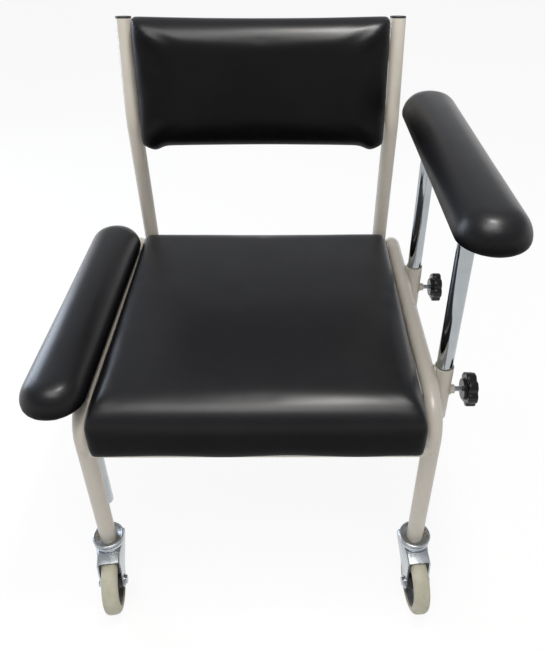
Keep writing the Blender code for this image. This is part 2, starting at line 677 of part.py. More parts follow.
def flared(bm, half_width):
    """Spread a pressing's cheeks towards the raceway, from the visor back."""
    low = FORK_TOP - FORK_FLARE_DEPTH
    along, up = Vector((0, 1, 0)), Vector((0, 0, 1))
    for place, normal in ((-FORK_FLAT * along, along), (0 * along, along), (low * up, up)):
        bmesh.ops.bisect_plane(bm, geom=[*bm.verts, *bm.edges, *bm.faces], dist=1e-6,
                               plane_co=place, plane_no=normal)
    for point in bm.verts:
        back_share = min(1.0, max(0.0, 1 + point.co.y / FORK_FLAT))
        top_share = min(1.0, max(0.0, (point.co.z - low) / FORK_FLARE_DEPTH))
        point.co.x *= 1 + FORK_FLARE * back_share * top_share / half_width
    return bm


def make_fork(name, swivel, braked):
    """A pressed fork over the wheel, with a raceway on top."""
    half = FORK_WIDTH / 2
    inner = half - FORK_SHEET
    roof = FORK_TOP - FORK_SHEET
    visor_low = FORK_TOP - FORK_VISOR_DROP - GAP
    body = bent_over(prism(fork_outline(), half), half, visor_low, FORK_BEND)
    fork = solid(name, flared(body, half), "zinc", parent=swivel)
    tool(fork, f"{name}_cavity", flared(prism(cavity_outline(), inner), inner))
    race = [(RACE_RADIUS * 0.9, FORK_TOP - FORK_SHEET / 2), (RACE_RADIUS, (FORK_TOP + RACE_TOP) / 2),
            (RACE_RADIUS * 0.9, RACE_TOP)]
    tool(fork, f"{name}_race", turned(race, SWIVEL_SIDES), "UNION")
    tool(fork, f"{name}_kingpin_hole", rod(KINGPIN_RADIUS + GAP, roof - FORK_SHEET, RACE_TOP * 2, 12))
    tool(fork, f"{name}_axle_hole", rod(AXLE_RADIUS + AXLE_CLEARANCE, -FORK_WIDTH, FORK_WIDTH, 12),
         location=(0, -TRAIL, WHEEL_RADIUS), rotation=(0, math.pi / 2, 0))
    if braked:
        tool(fork, f"{name}_pivot_hole", rod(PEDAL_PIVOT_RADIUS + GAP, -FORK_WIDTH, FORK_WIDTH, 10),
             location=pedal_pivot(), rotation=(0, math.pi / 2, 0))


def axle_form():
    """Axle bolt with a hexagon head and nut outside the fork."""
    seat = FORK_WIDTH / 2 + GAP
    end = seat + AXLE_HEAD_HEIGHT
    flats = AXLE_HEAD_FLATS
    return loft([hex_ring(flats, -end), hex_ring(flats, -seat), circle(AXLE_RADIUS, -seat, 12),
                 circle(AXLE_RADIUS, seat, 12), hex_ring(flats, seat), hex_ring(flats, end)])


def hub_form():
    """A dished wheel centre with a rim under the tyre and a boss round the axle."""
    rim = WHEEL_RADIUS - TYRE_DEPTH - GAP
    lip = (rim - HUB_BOSS_RADIUS) * 0.25
    bore = AXLE_RADIUS + AXLE_CLEARANCE
    boss = FORK_WIDTH / 2 - FORK_SHEET - TURN_GAP
    half = [(bore, boss), (HUB_BOSS_RADIUS, boss), (HUB_BOSS_RADIUS + lip / 2, HUB_WEB / 2),
            (rim - lip, HUB_WEB / 2), (rim - lip / 2, HUB_RIM_WIDTH / 2), (rim, HUB_RIM_WIDTH / 2)]
    mirrored = [(radius, -height) for radius, height in reversed(half)]
    return turned(half + mirrored, SWIVEL_SIDES, closed=True)


def tyre_form():
    """A tyre with round shoulders and flats that meet the floor at the wheel's radius."""
    to_corner = 1 / math.cos(math.pi / TYRE_SIDES)
    seat = (WHEEL_RADIUS - TYRE_DEPTH) * to_corner
    side = TYRE_WIDTH / 2
    shoulder = TYRE_DEPTH * 0.55
    outer = WHEEL_RADIUS * to_corner
    half = [(seat, side * 0.9), (outer - shoulder, side), (outer - shoulder * 0.25, side * 0.8),
            (outer, side * 0.45)]
    mirrored = [(radius, -height) for radius, height in reversed(half)]
    return turned(half + mirrored, TYRE_SIDES, closed=True, phase=math.pi / TYRE_SIDES)


def pedal_pivot():
    return Vector((0, -FORK_FLAT - FORK_VISOR + PEDAL_PIVOT_BACK, FORK_TOP - PEDAL_PIVOT_DROP))


def make_pedal(name, swivel):
    """A pressed plate in front of the fork with an ear and a stub pin outside each cheek."""
    ear_inside = FORK_WIDTH / 2 + GAP
    half = ear_inside + PEDAL_SHEET
    pivot = pedal_pivot()
    visor_edge = -FORK_FLAT - FORK_VISOR
    root = Vector((visor_edge - PEDAL_PIVOT_BACK, 2 * WHEEL_RADIUS + PEDAL_LIFT)) - pivot.yz
    run = Vector((-math.cos(PEDAL_SLOPE), -math.sin(PEDAL_SLOPE)))
    under = Vector((0, -PEDAL_SHEET))
    toe = root + run * PEDAL_LENGTH
    outline = [tuple(root), tuple(toe), tuple(toe + under), tuple(root + under)]
    outline += arc((0, 0), PEDAL_EAR_RADIUS, math.radians(200), math.radians(410), 8)
    lever = empty(f"{name}_axis", pivot, parent=swivel)
    pedal = solid(name, prism(outline, half), "zinc", parent=lever)
    slot_end = root.x + GAP
    tool(pedal, f"{name}_slot",
         block((-ear_inside, slot_end, -FORK_WIDTH), (ear_inside, FORK_WIDTH, FORK_WIDTH)))
    pin_reach = FORK_WIDTH / 2 - FORK_SHEET
    for side, sign in SIDES.items():
        tool(pedal, f"{name}_pin_{side}", rod(PEDAL_PIVOT_RADIUS, pin_reach, half - GAP, 10), "UNION",
             rotation=(0, sign * math.pi / 2, 0))


def make_castors():
    for corner, rest in SWIVEL_REST.items():
        end, side = corner.split("_")
        place = (SIDES[side] * LEG_HALF_SPACING, FRONT_Y if end == "front" else REAR_Y, 0)
        solid(f"{corner}_castor_head", head_form(), "zinc", place)
        swivel = empty(f"{corner}_swivel", place, (0, 0, rest))
        make_fork(f"{corner}_castor_fork", swivel, end == "rear")
        wheel = empty(f"{corner}_wheel", (0, -TRAIL, WHEEL_RADIUS), (0, math.pi / 2, 0), swivel)
        solid(f"{corner}_axle_bolt", axle_form(), "zinc", parent=wheel)
        solid(f"{corner}_wheel_hub", hub_form(), "black_plastic", parent=wheel)
        solid(f"{corner}_tyre", tyre_form(), "tyre_rubber", parent=wheel)
        if end == "rear":
            make_pedal(f"{corner}_brake_pedal", swivel)


def main():
    clear_scene()
    make_side_frames()
    make_cross_rails()
    make_seat_bearers()
    make_uprights()
    make_seat()
    make_back()
    make_sockets()
    make_armrests()
    make_clamp_screws()
    make_castors()


main()
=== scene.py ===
import json
import math

import bmesh
import bpy
from mathutils import Matrix, Vector, noise


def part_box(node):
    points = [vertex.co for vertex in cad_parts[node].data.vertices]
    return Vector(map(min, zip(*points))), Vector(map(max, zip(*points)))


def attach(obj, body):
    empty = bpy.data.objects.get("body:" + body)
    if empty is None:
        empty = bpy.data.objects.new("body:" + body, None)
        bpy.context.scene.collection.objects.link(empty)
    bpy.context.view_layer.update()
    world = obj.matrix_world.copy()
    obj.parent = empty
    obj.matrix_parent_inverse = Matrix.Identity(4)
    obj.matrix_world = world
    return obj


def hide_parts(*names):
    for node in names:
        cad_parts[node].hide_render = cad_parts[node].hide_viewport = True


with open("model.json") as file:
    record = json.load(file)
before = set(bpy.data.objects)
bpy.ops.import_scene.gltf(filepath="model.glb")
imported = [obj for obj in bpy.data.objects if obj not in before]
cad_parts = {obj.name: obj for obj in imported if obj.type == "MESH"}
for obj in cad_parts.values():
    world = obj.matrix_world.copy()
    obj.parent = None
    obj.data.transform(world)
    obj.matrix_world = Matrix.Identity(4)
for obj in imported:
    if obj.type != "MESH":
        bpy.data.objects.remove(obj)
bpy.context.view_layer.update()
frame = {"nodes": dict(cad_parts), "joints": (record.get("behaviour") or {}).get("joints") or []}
scene = bpy.context.scene
scene.view_settings.view_transform = "Standard"
joints = {joint["name"]: joint for joint in frame["joints"]}
sideSigns = {"left": -1, "right": 1}
armEnds = ("front", "rear")
castorCorners = ("front_left", "front_right", "rear_left", "rear_right")
print("frame loaded:", len(frame["nodes"]), "nodes")

# Camera, light and floor

photoView = {
    "place": (0.0410, -0.8411, 1.0258),
    "pitch": 34.82,              # degrees below level
    "yaw": 0.16,                 # degrees to the right of straight back
    "focalPixels": 647.8,
    "pictureSize": (545, 650),
    "axisPixel": (288.5, 292.8),  # where the lens axis meets the picture
    "sensor": 36.0,
    "nearest": 0.02,
}
studio = {
    "ambient": 0.44,
    "backdrop": (1.0, 1.0, 1.0),
    "sky": ((0.06, (1.0, 1.0, 1.0)), (0.28, (0.36, 0.37, 0.40)),   # height above the horizon and tone there
            (0.60, (0.39, 0.40, 0.43)), (1.0, (0.40, 0.41, 0.43))),
    "floorTone": (0.88, 0.88, 0.88),
    "floorReach": 60.0,
    "floorDrop": 0.0006,         # just clear of the tyres
    "floorWhite": 0.90,          # share of plain white that the camera sees on the floor
}
lamps = {
    "overhead": {"place": (0.24, -0.20, 2.15), "aim": (0.08, -0.10, 0.40), "size": (0.30, 0.24),
                 "watts": 16.0, "tone": (1.0, 0.98, 0.95)},
    "window": {"place": (-1.75, 1.00, 0.95), "aim": (-0.10, 0.0, 0.45), "size": (1.00, 1.30),
               "watts": 22.0, "tone": (0.74, 0.84, 1.0)},
    "key": {"place": (-0.10, -0.85, 2.40), "aim": (0.0, 0.10, 0.55), "size": (1.20, 0.90),
            "watts": 25.0, "tone": (1.0, 0.98, 0.96)},
}


def makeCamera():
    width, height = photoView["pictureSize"]
    data = bpy.data.cameras.new("photoCamera")
    data.sensor_width = photoView["sensor"]      # spans the picture's long side
    data.lens = photoView["focalPixels"] * photoView["sensor"] / height
    data.shift_x = (width / 2 - photoView["axisPixel"][0]) / height
    data.shift_y = (photoView["axisPixel"][1] - height / 2) / height
    data.clip_start = photoView["nearest"]
    camera = bpy.data.objects.new("photoCamera", data)
    camera.location = photoView["place"]
    camera.rotation_euler = (math.radians(90 - photoView["pitch"]), 0, -math.radians(photoView["yaw"]))
    scene.collection.objects.link(camera)
    scene.camera = camera


def addNode(tree, kind, at, inputs=None, **settings):
    node = tree.nodes.new(kind)
    node.location = at
    for key, value in settings.items():
        setattr(node, key, value)
    for label, value in (inputs or {}).items():
        node.inputs[label].default_value = value
    return node


def wire(tree, *pairs):
    for leaving, entering in pairs:
        tree.links.new(leaving, entering)


def seenDirectly(tree, at):
    path = addNode(tree, "ShaderNodeLightPath", at)
    first = addNode(tree, "ShaderNodeMath", (at[0] + 180, at[1]), operation="MAXIMUM")
    both = addNode(tree, "ShaderNodeMath", (at[0] + 360, at[1]), operation="MAXIMUM")
    wire(tree, (path.outputs["Is Camera Ray"], first.inputs[0]),
         (path.outputs["Is Glossy Ray"], first.inputs[1]),
         (first.outputs[0], both.inputs[0]), (path.outputs["Is Transmission Ray"], both.inputs[1]))
    return both.outputs[0]


def makeWorld():
    world = bpy.data.worlds.new("studio")
    world.use_nodes = True
    scene.world = world
    tree = world.node_tree
    ambient = tree.nodes["Background"]
    ambient.inputs["Strength"].default_value = studio["ambient"]
    ambient.inputs["Color"].default_value = (1, 1, 1, 1)
    shown = addNode(tree, "ShaderNodeBackground", (200, -200))
    coords = addNode(tree, "ShaderNodeTexCoord", (-500, -200))
    split = addNode(tree, "ShaderNodeSeparateXYZ", (-320, -200))
    ramp = addNode(tree, "ShaderNodeValToRGB", (-140, -200))
    elements, stops = ramp.color_ramp.elements, studio["sky"]
    for element, (level, tone) in zip(elements, (stops[0], stops[-1])):
        element.position, element.color = level, (*tone, 1)
    for level, tone in stops[1:-1]:
        elements.new(level).color = (*tone, 1)
    path = addNode(tree, "ShaderNodeLightPath", (-140, -480))
    backdrop = addNode(tree, "ShaderNodeMix", (100, -350), data_type="RGBA")   # plain for the camera
    backdrop.inputs[7].default_value = (*studio["backdrop"], 1)
    mix = addNode(tree, "ShaderNodeMixShader", (420, 0))
    wire(tree, (coords.outputs["Generated"], split.inputs[0]), (split.outputs["Z"], ramp.inputs[0]),
         (path.outputs["Is Camera Ray"], backdrop.inputs["Factor"]),
         (ramp.outputs["Color"], backdrop.inputs[6]), (backdrop.outputs[2], shown.inputs["Color"]),
         (seenDirectly(tree, (-320, 250)), mix.inputs[0]),
         (ambient.outputs[0], mix.inputs[1]), (shown.outputs[0], mix.inputs[2]),
         (mix.outputs[0], tree.nodes["World Output"].inputs["Surface"]))


def makeLamps():
    for name, lamp in lamps.items():
        data = bpy.data.lights.new(name, "AREA")
        data.shape = "RECTANGLE"
        data.size, data.size_y = lamp["size"]
        data.energy = lamp["watts"]
        data.color = lamp["tone"]
        made = bpy.data.objects.new(name, data)
        made.location = lamp["place"]
        aim = Vector(lamp["aim"]) - Vector(lamp["place"])
        made.rotation_euler = aim.to_track_quat("-Z", "Y").to_euler()
        scene.collection.objects.link(made)


def makeFloor():
    bm = bmesh.new()
    bmesh.ops.create_grid(bm, x_segments=2, y_segments=2, size=studio["floorReach"])
    mesh = bpy.data.meshes.new("studioFloor")
    bm.to_mesh(mesh)
    bm.free()
    paint = bpy.data.materials.new("studioFloor")
    paint.use_nodes = True
    tree = paint.node_tree
    tree.nodes.clear()
    output = addNode(tree, "ShaderNodeOutputMaterial", (600, 0))
    diffuse = addNode(tree, "ShaderNodeBsdfDiffuse", (150, 100), {"Color": (*studio["floorTone"], 1)})
    white = addNode(tree, "ShaderNodeEmission", (150, -80))
    share = addNode(tree, "ShaderNodeMath", (150, 260), {1: studio["floorWhite"]}, operation="MULTIPLY")
    mix = addNode(tree, "ShaderNodeMixShader", (380, 0))
    wire(tree, (seenDirectly(tree, (-450, 300)), share.inputs[0]), (share.outputs[0], mix.inputs[0]),
         (diffuse.outputs[0], mix.inputs[1]), (white.outputs[0], mix.inputs[2]),
         (mix.outputs[0], output.inputs["Surface"]))
    mesh.materials.append(paint)
    floor = bpy.data.objects.new("studioFloor", mesh)
    floor.location.z = -studio["floorDrop"]
    scene.collection.objects.link(floor)


makeCamera()
makeWorld()
makeLamps()
makeFloor()
print("studio ready")

# Effects that several finishes share


def newGroup(name, inputs, output):
    group = bpy.data.node_groups.new(name, "ShaderNodeTree")
    for label, value in inputs.items():
        socket = group.interface.new_socket(name=label, in_out="INPUT", socket_type="NodeSocketFloat")
        socket.default_value = value
    group.interface.new_socket(name=output, in_out="OUTPUT", socket_type="NodeSocketFloat")
    entry = addNode(group, "NodeGroupInput", (-700, 0))
    leaving = addNode(group, "NodeGroupOutput", (700, 0))
    coords = addNode(group, "ShaderNodeTexCoord", (-700, -260))
    return group, entry, leaving, coords.outputs["Object"]


def makeMottle():
    # soft uneven patches between two values
    group, entry, leaving, place = newGroup(
        "unevenPatches", {"Scale": 30.0, "Low": 0.0, "High": 1.0}, "Value")
    patches = addNode(group, "ShaderNodeTexNoise", (-400, 0), {"Detail": 5.0, "Roughness": 0.6})
    spread = addNode(group, "ShaderNodeMapRange", (200, 0), {"From Min": 0.3, "From Max": 0.7})
    wire(group, (place, patches.inputs["Vector"]), (entry.outputs["Scale"], patches.inputs["Scale"]),
         (patches.outputs["Fac"], spread.inputs["Value"]), (entry.outputs["Low"], spread.inputs["To Min"]),
         (entry.outputs["High"], spread.inputs["To Max"]), (spread.outputs[0], leaving.inputs["Value"]))
    return group


def makePebble():
    # raised grain of embossed sheet, with finer pores between
    group, entry, leaving, place = newGroup("pebbleGrain", {"Scale": 900.0, "Pores": 0.35}, "Height")
    cells = addNode(group, "ShaderNodeTexVoronoi", (-400, 120), {"Smoothness": 0.6, "Randomness": 0.9},
                    feature="SMOOTH_F1")
    pores = addNode(group, "ShaderNodeTexNoise", (-400, -200), {"Detail": 4.0})
    scaled = addNode(group, "ShaderNodeMath", (-600, -200), {1: 1.7}, operation="MULTIPLY")   # finer
    weighed = addNode(group, "ShaderNodeMath", (-100, -200), operation="MULTIPLY")
    total = addNode(group, "ShaderNodeMath", (200, 0), operation="ADD")
    wire(group, (place, cells.inputs["Vector"]), (place, pores.inputs["Vector"]),
         (entry.outputs["Scale"], cells.inputs["Scale"]), (entry.outputs["Scale"], scaled.inputs[0]),
         (scaled.outputs[0], pores.inputs["Scale"]), (pores.outputs["Fac"], weighed.inputs[0]),
         (entry.outputs["Pores"], weighed.inputs[1]), (cells.outputs["Distance"], total.inputs[0]),
         (weighed.outputs[0], total.inputs[1]), (total.outputs[0], leaving.inputs["Height"]))
    return group


maskKinds = {
    "dust": {"name": "dustFilm", "upward": True, "span": (0.2, 1.0), "ease": "LINEAR",
             "detail": 8.0, "least": 0.0},
    "rub": {"name": "edgeRub", "upward": False, "span": (0.53, 0.62), "ease": "LINEAR",
            "detail": 6.0, "least": 0.0},
    "polish": {"name": "usePolish", "upward": True, "span": (-0.05, 0.75), "ease": "SMOOTHSTEP",
               "detail": 3.0, "least": 0.8},
}


def makeMask(kind):
    # what faces up, or else the edges that stand out, broken into patches
    group, entry, leaving, place = newGroup(kind["name"], {"Amount": 0.2, "Scale": 60.0}, "Mask")
    surface = addNode(group, "ShaderNodeNewGeometry", (-700, 240))
    source = surface.outputs["Pointiness"]
    if kind["upward"]:
        split = addNode(group, "ShaderNodeSeparateXYZ", (-500, 240))
        wire(group, (surface.outputs["Normal"], split.inputs[0]))
        source = split.outputs["Z"]
    low, high = kind["span"]
    chosen = addNode(group, "ShaderNodeMapRange", (-300, 240), {"From Min": low, "From Max": high},
                     interpolation_type=kind["ease"])
    patches = addNode(group, "ShaderNodeTexNoise", (-400, -60), {"Detail": kind["detail"]})
    even = addNode(group, "ShaderNodeMapRange", (-150, -60), {"To Min": kind["least"]})
    broken = addNode(group, "ShaderNodeMath", (50, 60), operation="MULTIPLY")
    weighed = addNode(group, "ShaderNodeMath", (250, 0), operation="MULTIPLY")
    wire(group, (source, chosen.inputs["Value"]), (place, patches.inputs["Vector"]),
         (entry.outputs["Scale"], patches.inputs["Scale"]), (patches.outputs["Fac"], even.inputs["Value"]),
         (chosen.outputs[0], broken.inputs[0]), (even.outputs[0], broken.inputs[1]),
         (broken.outputs[0], weighed.inputs[0]), (entry.outputs["Amount"], weighed.inputs[1]),
         (weighed.outputs[0], leaving.inputs["Mask"]))
    return group


effects = {"mottle": makeMottle(), "pebble": makePebble()}
effects.update({name: makeMask(kind) for name, kind in maskKinds.items()})
print("shared effects ready:", len(effects))

# Finishes: tones are mixed by uneven patches, and the rest is set on the shader itself

finishes = {
    "framePaint": {
        "tones": ((0.515, 0.476, 0.410), (0.560, 0.522, 0.457)), "toneScale": 14.0,
        "roughness": (0.27, 0.38), "roughScale": 70.0, "grain": (420.0, 0.9, 0.00006),
        "dust": (0.16, 90.0, (0.60, 0.57, 0.52)), "rub": (0.30, 140.0, (0.66, 0.63, 0.57)),
        "polish": (0.40, 30.0), "fixed": {"Coat Roughness": 0.12, "Specular IOR Level": 0.5},
    },
    "blackVinyl": {
        "tones": ((0.0030, 0.0030, 0.0035), (0.0052, 0.0052, 0.0060)), "toneScale": 9.0,
        "roughness": (0.34, 0.42), "roughScale": 26.0, "grain": (1150.0, 0.45, 0.00018),
        "dust": (0.02, 50.0, (0.16, 0.16, 0.17)), "rub": None, "polish": (1.0, 20.0),
        "fixed": {"Specular IOR Level": 0.05, "Coat Roughness": 0.32, "Coat IOR": 1.38},
    },
    "chromePlate": {
        "tones": ((0.36, 0.39, 0.41), (0.44, 0.465, 0.48)), "toneScale": 22.0, "metal": 1.0,
        "roughness": (0.05, 0.13), "roughScale": 55.0, "grain": (700.0, 0.2, 0.000006),
        "dust": (0.05, 120.0, (0.50, 0.50, 0.50)), "rub": None, "fixed": {},
    },
    "zincPlate": {
        "tones": ((0.45, 0.485, 0.515), (0.55, 0.575, 0.595)), "toneScale": 40.0, "metal": 1.0,
        "roughness": (0.24, 0.32), "roughScale": 60.0, "grain": (500.0, 0.3, 0.000004),
        "dust": (0.08, 150.0, (0.42, 0.41, 0.39)), "rub": (0.10, 120.0, (0.68, 0.69, 0.70)), "fixed": {},
    },
    "knobPlastic": {
        "tones": ((0.0045, 0.0045, 0.0050), (0.0075, 0.0075, 0.0080)), "toneScale": 40.0,
        "roughness": (0.12, 0.22), "roughScale": 160.0, "grain": (900.0, 0.4, 0.00002),
        "dust": (0.05, 200.0, (0.20, 0.20, 0.20)), "rub": (0.25, 300.0, (0.05, 0.05, 0.05)),
        "fixed": {"Specular IOR Level": 0.30},
    },
    "moulding": {
        "tones": ((0.0090, 0.0090, 0.0100), (0.0160, 0.0160, 0.0170)), "toneScale": 45.0,
        "roughness": (0.42, 0.58), "roughScale": 120.0, "grain": (1500.0, 0.7, 0.00005),
        "dust": (0.08, 180.0, (0.20, 0.19, 0.18)), "rub": (0.25, 260.0, (0.06, 0.06, 0.06)), "fixed": {},
    },
    "tyreRubber": {
        "tones": ((0.375, 0.362, 0.275), (0.470, 0.455, 0.360)), "toneScale": 38.0,
        "roughness": (0.55, 0.74), "roughScale": 90.0, "grain": (1200.0, 0.8, 0.00008),
        "dust": (0.10, 120.0, (0.34, 0.32, 0.28)), "rub": (0.35, 150.0, (0.30, 0.29, 0.24)), "fixed": {},
    },
}


def placeEffect(tree, name, at, **values):
    node = addNode(tree, "ShaderNodeGroup", at, values, node_tree=effects[name])
    return node.outputs[0]


def mixTone(tree, factor, first, second, at):
    mix = addNode(tree, "ShaderNodeMix", at, data_type="RGBA")
    tree.links.new(factor, mix.inputs["Factor"])
    for socket, tone in ((mix.inputs[6], first), (mix.inputs[7], second)):
        if isinstance(tone, tuple):
            socket.default_value = (*tone, 1)
        else:
            tree.links.new(tone, socket)
    return mix.outputs[2]


grain = {"bump": 0.8, "shine": (0.6, 0.65)}   # shine: how much the raised grain adds, and what hollows keep


def newMaterial(name):
    made = bpy.data.materials.new(name)
    made.use_nodes = True
    return made, made.node_tree, made.node_tree.nodes["Principled BSDF"]


def makeFinish(name):
    look = finishes[name]
    made, tree, shader = newMaterial(name)
    shader.inputs["Metallic"].default_value = look.get("metal", 0.0)
    for label, value in look["fixed"].items():
        shader.inputs[label].default_value = value
    patches = placeEffect(tree, "mottle", (-900, 300), Scale=look["toneScale"])
    tone = mixTone(tree, patches, *look["tones"], (-650, 300))
    for offset, effect in ((0, "rub"), (220, "dust")):
        if look[effect]:
            amount, scale, colour = look[effect]
            mask = placeEffect(tree, effect, (-900 + offset, 520), Amount=amount, Scale=scale)
            tone = mixTone(tree, mask, tone, colour, (-430 + offset, 400))
    low, high = look["roughness"]
    rough = placeEffect(tree, "mottle", (-600, 60), Scale=look["roughScale"], Low=low, High=high)
    scale, pores, depth = look["grain"]
    height = placeEffect(tree, "pebble", (-600, -200), Scale=scale, Pores=pores)
    bump = addNode(tree, "ShaderNodeBump", (-300, -200), {"Strength": grain["bump"], "Distance": depth})
    wire(tree, (tone, shader.inputs["Base Color"]), (rough, shader.inputs["Roughness"]),
         (height, bump.inputs["Height"]), (bump.outputs[0], shader.inputs["Normal"]))
    if "polish" in look:
        amount, scale = look["polish"]
        gain, least = grain["shine"]
        raised = addNode(tree, "ShaderNodeMath", (-420, 0), {1: gain, 2: least}, operation="MULTIPLY_ADD")
        weight = addNode(tree, "ShaderNodeMath", (-200, 60), operation="MULTIPLY", use_clamp=True)
        sheen = placeEffect(tree, "polish", (-420, 160), Amount=amount, Scale=scale)
        wire(tree, (height, raised.inputs[0]), (sheen, weight.inputs[0]), (raised.outputs[0], weight.inputs[1]),
             (weight.outputs[0], shader.inputs["Coat Weight"]))
    return made


plywood = {"light": (0.52, 0.37, 0.22), "dark": (0.36, 0.23, 0.12), "stretch": (40.0, 2.5, 260.0),
           "fibres": {"Scale": 1.6, "Detail": 7.0, "Distortion": 0.5}, "relief": 0.0002,
           "roughness": (0.55, 0.75), "roughScale": 50.0}


def makePlywood():
    made, tree, shader = newMaterial("plywood")
    coords = addNode(tree, "ShaderNodeTexCoord", (-1100, 0))
    stretch = addNode(tree, "ShaderNodeMapping", (-900, 0), {"Scale": plywood["stretch"]})
    fibres = addNode(tree, "ShaderNodeTexNoise", (-700, 0), plywood["fibres"])
    tone = mixTone(tree, fibres.outputs["Fac"], plywood["light"], plywood["dark"], (-400, 100))
    low, high = plywood["roughness"]
    rough = placeEffect(tree, "mottle", (-400, -100), Scale=plywood["roughScale"], Low=low, High=high)
    bump = addNode(tree, "ShaderNodeBump", (-300, -300), {"Distance": plywood["relief"]})
    wire(tree, (coords.outputs["Object"], stretch.inputs["Vector"]),
         (stretch.outputs[0], fibres.inputs["Vector"]),
         (tone, shader.inputs["Base Color"]), (rough, shader.inputs["Roughness"]),
         (fibres.outputs["Fac"], bump.inputs["Height"]), (bump.outputs[0], shader.inputs["Normal"]))
    return made


materials = {name: makeFinish(name) for name in finishes}
materials["plywood"] = makePlywood()
print("finishes ready:", len(materials))

# Making and placing pieces

sameSpot = 1e-6                                  # points closer than this are one


def finishPiece(name, bm, body, finish, node=None, sharp=38, place=Matrix()):
    bmesh.ops.transform(bm, matrix=place, verts=bm.verts)
    bmesh.ops.remove_doubles(bm, verts=bm.verts, dist=sameSpot)
    bmesh.ops.recalc_face_normals(bm, faces=bm.faces)
    mesh = bpy.data.meshes.new(name)
    bm.to_mesh(mesh)
    bm.free()
    mesh.shade_smooth()
    mesh.set_sharp_from_angle(angle=math.radians(sharp))
    mesh.materials.append(materials[finish])
    piece = bpy.data.objects.new(name, mesh)
    scene.collection.objects.link(piece)
    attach(piece, body)
    if node:
        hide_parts(node)
    return piece


def nodeBox(node):
    low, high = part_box(node)
    return low, high, (low + high) / 2


def setAt(point, axis):
    # a place with its Z along the axis
    return Matrix.Translation(point) @ Vector(axis).to_track_quat("Z", "Y").to_matrix().to_4x4()


def outwardPlace(node, sign):
    # at the node's inner end, with Z pointing away from the seat
    low, high, middle = nodeBox(node)
    return setAt((low.x if sign > 0 else high.x, middle.y, middle.z), (sign, 0, 0))


def clamp(value):
    return min(1.0, max(0.0, value))


def bevelEdges(bm, edges, offset, segments, clamped=False):
    bmesh.ops.bevel(bm, geom=edges, offset=offset, segments=segments, profile=0.5, affect="EDGES",
                    material=-1, clamp_overlap=clamped)


def softenEdges(bm, width, segments=2, angle=30, points=None):
    edges = {edge for point in points for edge in point.link_edges} if points else bm.edges
    crisp = [edge for edge in edges
             if len(edge.link_faces) == 2 and edge.calc_face_angle() > math.radians(angle)]
    bevelEdges(bm, crisp, width, segments, clamped=True)


def edgesAlong(bm, axis, least=0.001):
    return [edge for edge in bm.edges if abs(edge.verts[0].co[axis] - edge.verts[1].co[axis]) > least]


def addBox(bm, size, middle):
    made = bmesh.ops.create_cube(bm, size=1.0)["verts"]
    bmesh.ops.scale(bm, vec=size, verts=made)
    bmesh.ops.translate(bm, vec=middle, verts=made)


def addHex(bm, radius, height, place, edge):
    made = bmesh.ops.create_cone(bm, cap_ends=True, segments=6, radius1=radius, radius2=radius, depth=height,
                                 matrix=place)["verts"]
    softenEdges(bm, edge, points=made)


def movedVerts(made):
    return [item for item in made if isinstance(item, bmesh.types.BMVert)]


def extrudeFaces(bm, faces, step):
    grown = bmesh.ops.extrude_face_region(bm, geom=faces, use_keep_orig=True)["geom"]
    bmesh.ops.translate(bm, vec=step, verts=movedVerts(grown))


def faceUp(bm, measure):
    # turns a sheet over where the face with the largest measure looks down
    if max(bm.faces, key=measure).normal.z < 0:
        bmesh.ops.reverse_faces(bm, faces=bm.faces)


def splitLargeFaces(bm):
    bmesh.ops.triangulate(bm, faces=[face for face in bm.faces if len(face.verts) > 4])


def lathe(bm, profile, steps, place=Matrix(), closed=False):
    # turns (radius, height) points about Z, then moves them to their place
    points = [bm.verts.new((radius, 0, height)) for radius, height in profile]
    pairs = list(zip(points, points[1:])) + ([(points[-1], points[0])] if closed else [])
    edges = [bm.edges.new(pair) for pair in pairs]
    before = set(bm.verts) - set(points)
    bmesh.ops.spin(bm, geom=points + edges, cent=(0, 0, 0), axis=(0, 0, 1), dvec=(0, 0, 0),
                   angle=2 * math.pi, steps=steps, use_merge=True)
    turned = [point for point in bm.verts if point not in before]
    bmesh.ops.remove_doubles(bm, verts=turned, dist=sameSpot)
    turned = [point for point in bm.verts if point not in before]
    bmesh.ops.transform(bm, matrix=place, verts=turned)
    return turned


def ringEdges(ring):
    own = set(ring)
    return [edge for edge in {edge for point in ring for edge in point.link_edges}
            if edge.verts[0] in own and edge.verts[1] in own]


def startRing(bm, radius, sides, place):
    return bmesh.ops.create_circle(bm, cap_ends=False, radius=radius, segments=sides, matrix=place)["verts"]


def runStraight(bm, ring, step):
    ring = movedVerts(bmesh.ops.extrude_edge_only(bm, edges=ringEdges(ring))["geom"])
    bmesh.ops.translate(bm, vec=step, verts=ring)
    return ring


def runBend(bm, ring, centre, angle, steps):
    # bends in the YZ plane, about an axis along X
    turned = bmesh.ops.spin(bm, geom=ring + ringEdges(ring), cent=centre, axis=(1, 0, 0), dvec=(0, 0, 0),
                            angle=angle, steps=steps, use_merge=False)
    return movedVerts(turned["geom_last"])


def closeEnds(bm):
    rims = [edge for edge in bm.edges if edge.is_boundary]
    bmesh.ops.holes_fill(bm, edges=rims, sides=0)


def arcPoints(centre, radius, first, last, steps):
    turns = [math.radians(first + (last - first) * step / steps) for step in range(steps + 1)]
    return [(centre[0] + radius * math.cos(turn), centre[1] + radius * math.sin(turn)) for turn in turns]


weldBead = {"sides": 10, "stepsPerRipple": 4, "swell": 0.16}


